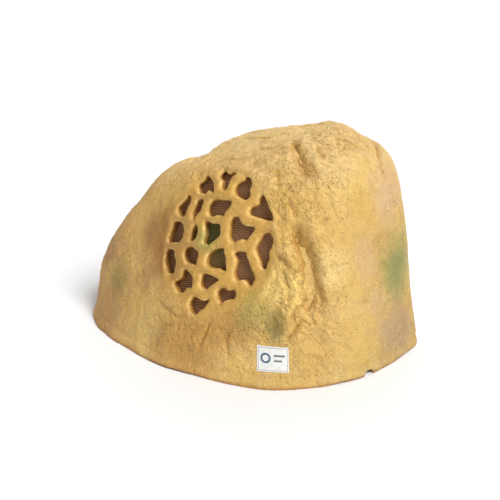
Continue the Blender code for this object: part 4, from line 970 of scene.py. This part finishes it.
# darker brown along the bottom rim, with a wandering top edge
colour = k.mix(k.math("MULTIPLY", k.ramp(k.math("ADD", height_mm, k.math("MULTIPLY", small, 5.0)), 7.5, 4.0), 0.65), colour, lin(190, 128, 72))
# painted shade along the wrinkle lines, which the bump below sinks in
creased = k.math("MAXIMUM", line_a, k.math("MULTIPLY", line_b, 0.7))
colour = k.mix(k.math("MULTIPLY", creased, 0.56), colour, lin(170, 108, 44))
# painted shade: darker on the right side, towards the right back, over the low front and towards the bottom; painted
# light in the wrinkled zones to offset their relief
low_front = k.math("MULTIPLY", k.ramp(height_mm, 150, 20), k.ramp(k.vector("DOT_PRODUCT", k.mm, (0.80, -0.60, 0.0)), 175, 60))
right_side = k.ramp(k.vector("DOT_PRODUCT", k.mm, (0.97, -0.24, 0.0)), 85, 180)
right_back = k.ramp(k.vector("DOT_PRODUCT", k.mm, (0.72, 0.69, 0.0)), 60, 165)
shade = k.math("SUBTRACT", k.math("SUBTRACT", 1.0, k.math("MULTIPLY", right_back, 0.17)), k.math("ADD", k.math("MULTIPLY", low_front, 0.05), k.math("ADD", k.math("MULTIPLY", right_side, 0.15), k.math("MULTIPLY", k.ramp(height_mm, 80, 10), 0.07))))
value = k.math("MULTIPLY", k.math("ADD", k.ramp(small, 0.25, 0.75, 0.92, 1.06), k.ramp(tiny, 0.3, 0.7, -0.12, 0.10)), k.math("ADD", shade, k.math("MULTIPLY", wrinkle_v, 0.07)))
colour = k.mix(1.0, colour, k.node("ShaderNodeCombineColor", {0: value, 1: value, 2: value}).outputs[0], "MULTIPLY")

rolls = k.math("ADD", k.math("MULTIPLY", k.math("ADD", ledges, k.math("MULTIPLY", ledges_2, 0.5)), strength), k.math("MULTIPLY", swell, k.ramp(web_v, 0.95, 0.25, 0.7, 1.0)))
n1 = k.bump(rolls, 1.35)
n2 = k.bump(k.math("ADD", line_a, k.math("MULTIPLY", line_b, 0.6)), -0.75, n1)
n3 = k.bump(k.math("ADD", grain, k.math("MULTIPLY", k.math("ADD", k.math("MULTIPLY", hair, 0.4), pit), -0.8)), 0.95, n2)
n4 = k.bump(tiny, 0.20, n3)
rough = k.math("ADD", k.ramp(small, 0.3, 0.7, 0.56, 0.72), k.math("MULTIPLY", hollow_v, 0.12))
painted_rock = k.finish(colour, rough, n4, specular=0.35)
rock.data.materials.append(painted_rock)

# ---------------------------------------------------------------- woven cloth
CLOTH_RADIUS, CLOTH_STEP = 83.0, 1.6
rings = int(CLOTH_RADIUS / CLOTH_STEP)
c_uv = [np.zeros((1, 2))]
sizes = [1]
for i in range(1, rings + 1):
    m = 6 * i
    a = 2 * math.pi * (np.arange(m) + 0.5 * (i % 2)) / m
    c_uv.append(np.stack([np.cos(a), np.sin(a)], -1) * CLOTH_RADIUS * i / rings)
    sizes.append(m)
c_uv = np.concatenate(c_uv)
_, _, c_on = onto_form(c_uv[:, 0], c_uv[:, 1])
c_disc, _, c_faces, _, _, _ = delaunay_2d_cdt([Vector(q) for q in c_uv], [], [], 0, 1e-9, True)
c_faces = [tuple(t) for t in c_faces]
slack = 0.25 * fractal(c_on, 30, 2, 3.0)
front = c_on - W * (WEB_DEPTH + 0.45 - slack)[:, None]
behind = front - W * 0.5
n_c = len(front)
edge_ring = list(range(n_c - sizes[-1], n_c))
c_all = c_faces + [tuple(n_c + q for q in reversed(t)) for t in c_faces]
flip = []
for i, a in enumerate(edge_ring):
    b = edge_ring[(i + 1) % len(edge_ring)]
    flip.append((a, n_c + a, n_c + b, b))
cloth_mesh = bpy.data.meshes.new("grille_fabric")
cloth_mesh.from_pydata((np.concatenate([front, behind]) / 1000).tolist(), [], c_all + flip)
bm = bmesh.new()
bm.from_mesh(cloth_mesh)
bmesh.ops.recalc_face_normals(bm, faces=bm.faces)
bm.to_mesh(cloth_mesh)
bm.free()
cloth_mesh.polygons.foreach_set("use_smooth", np.ones(len(cloth_mesh.polygons), bool))
cloth = bpy.data.objects.new("grille_fabric", cloth_mesh)
scene.collection.objects.link(cloth)
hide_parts("grille_cloth")
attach(cloth, "cabinet")

k = Paint("woven_grille_cloth")
along_u = k.vector("DOT_PRODUCT", k.mm, tuple(U))
along_v = k.vector("DOT_PRODUCT", k.mm, tuple(V))
drift = k.math("MULTIPLY", k.math("SUBTRACT", k.noise(14, 2, 0.5, seed=3.0), 0.5), 3.2)
ripple = k.math("MULTIPLY", k.math("SINE", k.math("MULTIPLY", along_u, 2 * math.pi / 5.2)), 0.30)
twill = k.math("SINE", k.math("MULTIPLY", k.math("ADD", k.math("ADD", along_v, k.math("ADD", k.math("MULTIPLY", along_u, -0.22), k.math("MULTIPLY", k.math("MAXIMUM", k.math("SUBTRACT", along_u, float(WEB_ORIGIN @ U)), 0.0), 0.42))), k.math("ADD", drift, ripple)), 2 * math.pi / 2.6))
cross = k.math("SINE", k.math("MULTIPLY", k.math("ADD", along_u, k.math("MULTIPLY", along_v, 0.25)), 2 * math.pi / 0.9))
weave = k.ramp(k.math("ADD", twill, k.math("MULTIPLY", cross, 0.35)), -1.2, 1.2)
fuzz = k.noise(0.8, 3, 0.7, seed=2.0)
tone = k.mix(weave, lin(106, 72, 46), lin(178, 134, 96))
tone = k.mix(k.math("MULTIPLY", k.ramp(k.noise(38, 3, 0.6, seed=7.0), 0.35, 0.7), 0.5), tone, lin(128, 98, 68))
tone = k.mix(k.math("MULTIPLY", fuzz, 0.25), tone, lin(110, 84, 62))


def on_cloth(u, v):
    return onto_form(np.array([float(u)]), np.array([float(v)]))[2][0] - W * (WEB_DEPTH + 0.5)


green_cloth = k.spot(on_cloth(-1, 11), 24, core=0.55, wander=0.2, seed=5.0)
olive_cloth = k.math("MAXIMUM", k.spot(on_cloth(12, -10), 26, core=0.4, wander=0.25, seed=6.0), k.math("MULTIPLY", k.spot(on_cloth(-27, 4), 16, seed=8.0), 0.8))
tone = k.mix(k.math("MULTIPLY", olive_cloth, 0.75), tone, k.mix(weave, lin(84, 76, 42), lin(132, 118, 74)))
tone = k.mix(k.math("MULTIPLY", green_cloth, 0.9), tone, k.mix(weave, lin(60, 66, 34), lin(100, 106, 60)))
n1 = k.bump(weave, 0.5)
n2 = k.bump(fuzz, 0.15, n1)
cloth.data.materials.append(k.finish(tone, k.ramp(fuzz, 0.2, 0.8, 0.82, 0.96), n2, specular=0.15))

# ---------------------------------------------------------------- plain label
LABEL_HEADING, LABEL_Z = (42.0, 55.0), (19.0, 45.5)
cols, rows_ = 36, 28
lab_az = np.radians(np.linspace(LABEL_HEADING[0] + 0.25, LABEL_HEADING[1] - 0.25, cols + 1))
lab_z = np.linspace(LABEL_Z[0] + 0.4, LABEL_Z[1] - 0.4, rows_ + 1)


def at_level(az, z):
    """Points of the form at a height, by their heading."""
    low, high = np.full(len(az), -1.2), np.full(len(az), 1.2)
    for _ in range(40):
        mid = (low + high) / 2
        below = on_form(az, mid)[:, 2] < z
        low, high = np.where(below, mid, low), np.where(below, high, mid)
    return on_form(az, (low + high) / 2)


lab = np.array([at_level(lab_az, z) for z in lab_z])
lab_d = (lab - CENTRE) / np.linalg.norm(lab - CENTRE, axis=2)[:, :, None]
corner = 1.6
gx = np.linspace(0, 1, cols + 1)[None, :] * 34 + np.zeros((rows_ + 1, 1))
gy = np.linspace(0, 1, rows_ + 1)[:, None] * 27 + np.zeros((1, cols + 1))
lab_front, lab_back = lab + lab_d * 0.62, lab + lab_d * 0.30
idx = np.arange((rows_ + 1) * (cols + 1)).reshape(rows_ + 1, cols + 1)
lv = np.concatenate([lab_front.reshape(-1, 3), lab_back.reshape(-1, 3)])
half = (rows_ + 1) * (cols + 1)
lf = []
for i in range(rows_):
    for j in range(cols):
        lf.append((idx[i, j], idx[i, j + 1], idx[i + 1, j + 1], idx[i + 1, j]))
        lf.append((half + idx[i, j], half + idx[i + 1, j], half + idx[i + 1, j + 1], half + idx[i, j + 1]))
ring = list(idx[0, :]) + list(idx[1:, -1]) + list(idx[-1, -2::-1]) + list(idx[-2:0:-1, 0])
lf += [(a, half + a, half + b, b) for a, b in zip(ring, ring[1:] + ring[:1])]
label_mesh = bpy.data.meshes.new("plain_label")
label_mesh.from_pydata((lv / 1000).tolist(), [], [tuple(int(q) for q in t) for t in lf])
layer = label_mesh.attributes.new("sheet_mm", "FLOAT_VECTOR", "POINT")
flat = np.stack([gx.ravel(), gy.ravel(), np.zeros(half)], -1)
layer.data.foreach_set("vector", np.concatenate([flat, flat]).astype(np.float32).ravel())
bm = bmesh.new()
bm.from_mesh(label_mesh)
bmesh.ops.recalc_face_normals(bm, faces=bm.faces)
bm.to_mesh(label_mesh)
bm.free()
label = bpy.data.objects.new("plain_label", label_mesh)
scene.collection.objects.link(label)
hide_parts("label_plate")
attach(label, "cabinet")

k = Paint("printed_label")
on = k.node("ShaderNodeSeparateXYZ", {0: k.node("ShaderNodeAttribute", attribute_name="sheet_mm").outputs["Vector"]})
lx, ly = on.outputs["X"], on.outputs["Y"]


def between(value, a, b, soft=0.15):
    return k.math("MULTIPLY", k.ramp(value, a - soft, a + soft), k.ramp(value, b + soft, b - soft))


def boxed(x0, x1, y0, y1):
    return k.math("MULTIPLY", between(lx, x0, x1), between(ly, y0, y1))


grime = k.noise(5, 4, 0.6, seed=2.0)
paper = k.mix(k.ramp(grime, 0.35, 0.75), lin(236, 236, 232), lin(222, 221, 214))
ring_d = k.vector("LENGTH", k.node("ShaderNodeCombineXYZ", {0: k.math("SUBTRACT", lx, 9.5), 1: k.math("SUBTRACT", ly, 14.5), 2: 0.0}).outputs[0])
paper = k.mix(between(ring_d, 3.4, 5.6), paper, lin(70, 104, 128))
paper = k.mix(k.math("MAXIMUM", boxed(18.5, 30, 16.6, 18.6), boxed(18.5, 27, 11.2, 13.0)), paper, lin(96, 100, 104))
paper = k.mix(k.math("SUBTRACT", boxed(1.2, 32.8, 1.2, 25.8), boxed(1.8, 32.2, 1.8, 25.2)), paper, lin(150, 154, 156))
fine = k.noise(0.9, 2, 0.5, seed=5.0)
label.data.materials.append(k.finish(paper, k.ramp(grime, 0.3, 0.7, 0.32, 0.5), k.bump(k.math("ADD", fine, k.math("MULTIPLY", grime, 2.0)), 0.06), specular=0.5))

# ---------------------------------------------------------------- the CAD pieces' materials


def stock(name, dark, light, rough, metal=0.0, size=6.0, grain=0.7, relief_mm=0.05, stretch=(1, 1, 1), specular=0.45, wear=None):
    """A material with blotches, a fine grain and a matching relief."""
    k = Paint(name)
    blotch = k.noise(size, 4, 0.6, seed=3.0)
    fine = k.noise(grain, 3, 0.6, stretch=stretch, seed=8.0)
    c = k.mix(k.ramp(blotch, 0.3, 0.7), lin(*dark), lin(*light))
    c = k.mix(k.math("MULTIPLY", k.ramp(fine, 0.35, 0.7), 0.35), c, lin(*[min(255, int(v * 1.12) + 3) for v in light]))
    if wear:
        c = k.mix(k.math("MULTIPLY", k.ramp(k.noise(size * 2.2, 4, 0.65, seed=15.0), 0.55, 0.7), 0.55), c, lin(*wear))
    r = k.math("ADD", k.ramp(blotch, 0.3, 0.7, rough - 0.06, rough + 0.06), k.ramp(fine, 0.3, 0.7, -0.04, 0.04))
    normal = k.bump(fine, relief_mm)
    normal = k.bump(blotch, relief_mm * 2.5, normal)
    return k.finish(c, r, normal, metal=metal, specular=specular)


def wound(name, dark, light, rough, metal, pitch):
    """Turns of wire or tape, as fine bands along the piece's Z."""
    k = Paint(name)
    z = k.node("ShaderNodeSeparateXYZ", {0: k.mm}).outputs["Z"]
    turns = k.math("SINE", k.math("MULTIPLY", z, 2 * math.pi / pitch))
    fine = k.noise(0.8, 3, 0.6, seed=8.0)
    c = k.mix(k.ramp(turns, -1.0, 1.0), lin(*dark), lin(*light))
    c = k.mix(k.math("MULTIPLY", k.noise(4, 3, 0.6, seed=1.0), 0.3), c, lin(*dark))
    return k.finish(c, k.ramp(fine, 0.2, 0.8, rough - 0.08, rough + 0.08), k.bump(fine, 0.03, k.bump(turns, 0.08)), metal=metal)


def board(name):
    """Green circuit board with copper tracks under the lacquer."""
    k = Paint(name)
    tracks = k.cells(5.5, "DISTANCE_TO_EDGE", seed=2.0, stretch=(1, 0.55, 1))
    weave = k.noise(0.7, 2, 0.5, seed=4.0)
    c = k.mix(k.ramp(tracks, 0.07, 0.11), lin(60, 112, 66), lin(28, 74, 44))
    c = k.mix(k.math("MULTIPLY", weave, 0.2), c, lin(70, 110, 70))
    return k.finish(c, k.ramp(weave, 0.2, 0.8, 0.35, 0.5), k.bump(k.ramp(tracks, 0.07, 0.11), 0.04, k.bump(weave, 0.02)))


def laminated(name):
    """Stacked steel sheets, seen as fine bands across the core."""
    k = Paint(name)
    x = k.node("ShaderNodeSeparateXYZ", {0: k.mm}).outputs["X"]
    bands = k.math("SINE", k.math("MULTIPLY", x, 2 * math.pi / 0.9))
    rust = k.noise(7, 4, 0.65, seed=6.0)
    c = k.mix(k.ramp(bands, -1, 1), lin(58, 58, 60), lin(96, 96, 98))
    c = k.mix(k.math("MULTIPLY", k.ramp(rust, 0.52, 0.7), 0.5), c, lin(104, 74, 52))
    return k.finish(c, k.ramp(rust, 0.3, 0.7, 0.42, 0.6), k.bump(bands, 0.06, k.bump(rust, 0.05)), metal=0.6)


FINISHES = {
    "baffle_plastic": lambda: stock("black_baffle", (30, 30, 31), (44, 44, 45), 0.55, relief_mm=0.06),
    "foam": lambda: stock("closed_foam", (26, 26, 27), (46, 46, 46), 0.9, size=3.0, grain=0.6, relief_mm=0.22, specular=0.2),
    "black_steel": lambda: stock("black_painted_steel", (28, 29, 31), (42, 43, 46), 0.38, metal=0.2, relief_mm=0.05, wear=(58, 56, 54)),
    "surround_rubber": lambda: stock("surround_rubber", (22, 22, 23), (34, 34, 35), 0.62, relief_mm=0.04),
    "cone_polypropylene": lambda: stock("cone_polypropylene", (38, 38, 41), (54, 54, 58), 0.42, grain=1.1, relief_mm=0.06),
    "spider_cloth": lambda: stock("spider_cloth", (170, 134, 74), (196, 160, 98), 0.85, grain=0.6, relief_mm=0.14, specular=0.2),
    "former_film": lambda: stock("former_film", (150, 112, 58), (172, 132, 76), 0.35, relief_mm=0.02),
    "copper_wire": lambda: wound("copper_winding", (150, 82, 46), (212, 132, 86), 0.32, 0.9, 0.45),
    "zinc_steel": lambda: stock("zinc_plated_steel", (158, 160, 163), (188, 190, 192), 0.34, metal=0.9, size=9.0, grain=0.5, stretch=(1, 1, 0.15), relief_mm=0.03, wear=(146, 142, 134)),
    "ferrite": lambda: stock("ferrite", (30, 30, 33), (50, 50, 54), 0.62, relief_mm=0.08),
    "post_brass": lambda: stock("brass", (176, 142, 74), (206, 172, 100), 0.3, metal=0.9, size=4.0, relief_mm=0.02, wear=(140, 110, 66)),
    "neodymium": lambda: stock("plated_magnet", (176, 178, 182), (200, 202, 206), 0.22, metal=0.95, size=4.0, relief_mm=0.01),
    "dome_silk": lambda: stock("silk_dome", (34, 32, 30), (56, 52, 48), 0.6, grain=0.35, relief_mm=0.05),
    "black_plastic": lambda: stock("black_plastic", (26, 26, 27), (40, 40, 41), 0.48, size=3.0, relief_mm=0.05),
    "fibre_board": lambda: stock("fibre_board", (118, 82, 50), (146, 106, 68), 0.72, stretch=(1, 0.3, 1), relief_mm=0.08),
    "screw_steel": lambda: stock("screw_steel", (128, 130, 132), (170, 172, 174), 0.32, metal=0.9, size=2.5, grain=0.4, relief_mm=0.02, wear=(120, 96, 74)),
    "ledge_plastic": lambda: stock("ledge_plastic", (52, 50, 47), (70, 67, 62), 0.68, relief_mm=0.10, wear=(92, 82, 66)),
    "base_plastic": lambda: stock("base_plastic", (44, 43, 41), (60, 58, 55), 0.6, size=14.0, grain=0.8, relief_mm=0.10, wear=(84, 76, 64)),
    "lamination_steel": lambda: laminated("steel_laminations"),
    "winding_tape": lambda: wound("winding_tape", (166, 142, 60), (204, 180, 84), 0.42, 0.0, 3.2),
    "circuit_board": lambda: board("circuit_board"),
    "inductor_copper": lambda: wound("inductor_winding", (142, 72, 40), (206, 120, 76), 0.3, 0.9, 0.7),
    "capacitor_sleeve": lambda: stock("capacitor_sleeve", (26, 52, 110), (36, 70, 136), 0.34, size=5.0, relief_mm=0.03),
    "switch_phenolic": lambda: stock("phenolic", (72, 42, 24), (98, 60, 36), 0.55, relief_mm=0.05),
    "lead_red": lambda: stock("red_lead", (150, 24, 20), (178, 36, 30), 0.42, size=3.0, relief_mm=0.03),
    "lead_blue": lambda: stock("blue_lead", (26, 56, 142), (38, 76, 166), 0.42, size=3.0, relief_mm=0.03),
    "label_vinyl": lambda: stock("label_vinyl", (222, 221, 214), (236, 236, 232), 0.4, relief_mm=0.03),
    "woven_cloth": lambda: stock("cloth_under", (92, 62, 40), (158, 118, 84), 0.9, relief_mm=0.1),
    "moulded_stone_shell": lambda: painted_rock,
}
slot_of = {part["node"]: part["material_slot"] for part in frame["record"]["subparts"]}
made = {}
for name, obj in frame["nodes"].items():
    slot = slot_of[name]
    if slot not in made:
        made[slot] = FINISHES[slot]()
    obj.data.materials.clear()
    obj.data.materials.append(made[slot])

# ---------------------------------------------------------------- flexing rings of the driver
DRIVER_ORIGIN = WEB_ORIGIN - 42.0 * W


def flexing_ring(name, node, slot, line, thick, sectors):
    """A ring round the driver's axis, in equal sectors.
    line is the middle of its section as (radius, height), from the outside in."""
    line = np.array(line, float)
    run = np.gradient(line, axis=0)
    across = np.stack([-run[:, 1], run[:, 0]], -1)
    across /= np.linalg.norm(across, axis=1)[:, None]
    section = np.concatenate([line + across * thick / 2, (line - across * thick / 2)[::-1]])
    n = len(section)
    steps = max(4, int(96 / sectors))
    half_angle = math.pi / sectors
    for s in range(sectors):
        angles = (s + np.linspace(0, 1, steps + 1)) * 2 * half_angle
        points = np.concatenate([DRIVER_ORIGIN + section[:, :1] * (math.cos(a) * U + math.sin(a) * V) + section[:, 1:] * W for a in angles])
        faces = [(i * n + j, i * n + (j + 1) % n, (i + 1) * n + (j + 1) % n, (i + 1) * n + j) for i in range(steps) for j in range(n)]
        m = n // 2
        for base in (0, steps * n):
            faces += [(base + j, base + j + 1, base + n - 2 - j, base + n - 1 - j) for j in range(m - 1)]
        mesh = bpy.data.meshes.new(f"{name}_{s + 1}")
        mesh.from_pydata((points / 1000).tolist(), [], faces)
        bm = bmesh.new()
        bm.from_mesh(mesh)
        bmesh.ops.recalc_face_normals(bm, faces=bm.faces)
        bm.to_mesh(mesh)
        bm.free()
        mesh.polygons.foreach_set("use_smooth", np.ones(len(mesh.polygons), bool))
        mesh.set_sharp_from_angle(angle=math.radians(50))
        piece = bpy.data.objects.new(f"{name}_{s + 1}", mesh)
        scene.collection.objects.link(piece)
        mesh.materials.append(made[slot])
        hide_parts(node)
        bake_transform(piece)


radii = np.linspace(53.8, 13.6, 61)
flexing_ring("spider_sector", "woofer_spider", "spider_cloth",
             [(r, -22.12 + (0.78 * (1 - math.cos(2 * math.pi * (r - 20) / 10)) if 20 < r < 40 else 0.0)) for r in radii], 0.4, 6)
roll = [(64.5 + 4.55 * math.cos(a), 3.95 + 4.95 * math.sin(a)) for a in np.linspace(0.12, math.pi - 0.12, 21)]
flexing_ring("surround_sector", "woofer_surround", "surround_rubber",
             [(73.7, 3.95), (72.5, 3.95), (71.2, 3.95), (69.9, 3.95)] + roll + [(59.1, 3.92), (58.1, 3.92), (57.0, 3.92), (55.8, 3.92)], 0.5, 12)

# ================================================================ floor and light
floor_mesh = bpy.data.meshes.new("floor")
floor_mesh.from_pydata([(-150, -150, 0), (150, -150, 0), (150, 150, 0), (-150, 150, 0)], [], [(0, 1, 2, 3)])
floor = bpy.data.objects.new("floor", floor_mesh)
scene.collection.objects.link(floor)
k = Paint("pale_floor")
floor.data.materials.append(k.finish((0.93, 0.93, 0.93, 1), 0.9, specular=0.1))

world = bpy.data.worlds.new("studio")
world.use_nodes = True
world.node_tree.nodes["Background"].inputs["Color"].default_value = (1, 1, 1, 1)
# brighter in a low band all round, so that the floor's edge doesn't show
sky = world.node_tree
height = sky.nodes.new("ShaderNodeSeparateXYZ")
sky.links.new(sky.nodes.new("ShaderNodeTexCoord").outputs["Generated"], height.inputs[0])
band = sky.nodes.new("ShaderNodeMapRange")
band.interpolation_type = "SMOOTHSTEP"
for key, value in {"From Min": 0.07, "From Max": 0.2, "To Min": 1.0, "To Max": 0.30}.items():
    band.inputs[key].default_value = value
sky.links.new(height.outputs["Z"], band.inputs["Value"])
sky.links.new(band.outputs["Result"], sky.nodes["Background"].inputs["Strength"])
scene.world = world


def sun(name, az_deg, el_deg, strength, spread, colour=(1, 1, 1)):
    """Light from a heading (0 is -Y, 90 is +X) and a height, softened over spread degrees."""
    data = bpy.data.lights.new(name, "SUN")
    data.energy, data.angle, data.color = strength, math.radians(spread), colour
    obj = bpy.data.objects.new(name, data)
    a, e = math.radians(az_deg), math.radians(el_deg)
    obj.rotation_euler = Vector((math.sin(a) * math.cos(e), -math.cos(a) * math.cos(e), math.sin(e))).to_track_quat("Z", "Y").to_euler()
    scene.collection.objects.link(obj)
    return obj


sun("key", 88, 48, 2.8, 30)
sun("back", 215, 48, 0.7, 60)
scene.view_settings.view_transform = "Standard"
scene.view_settings.look = "None"
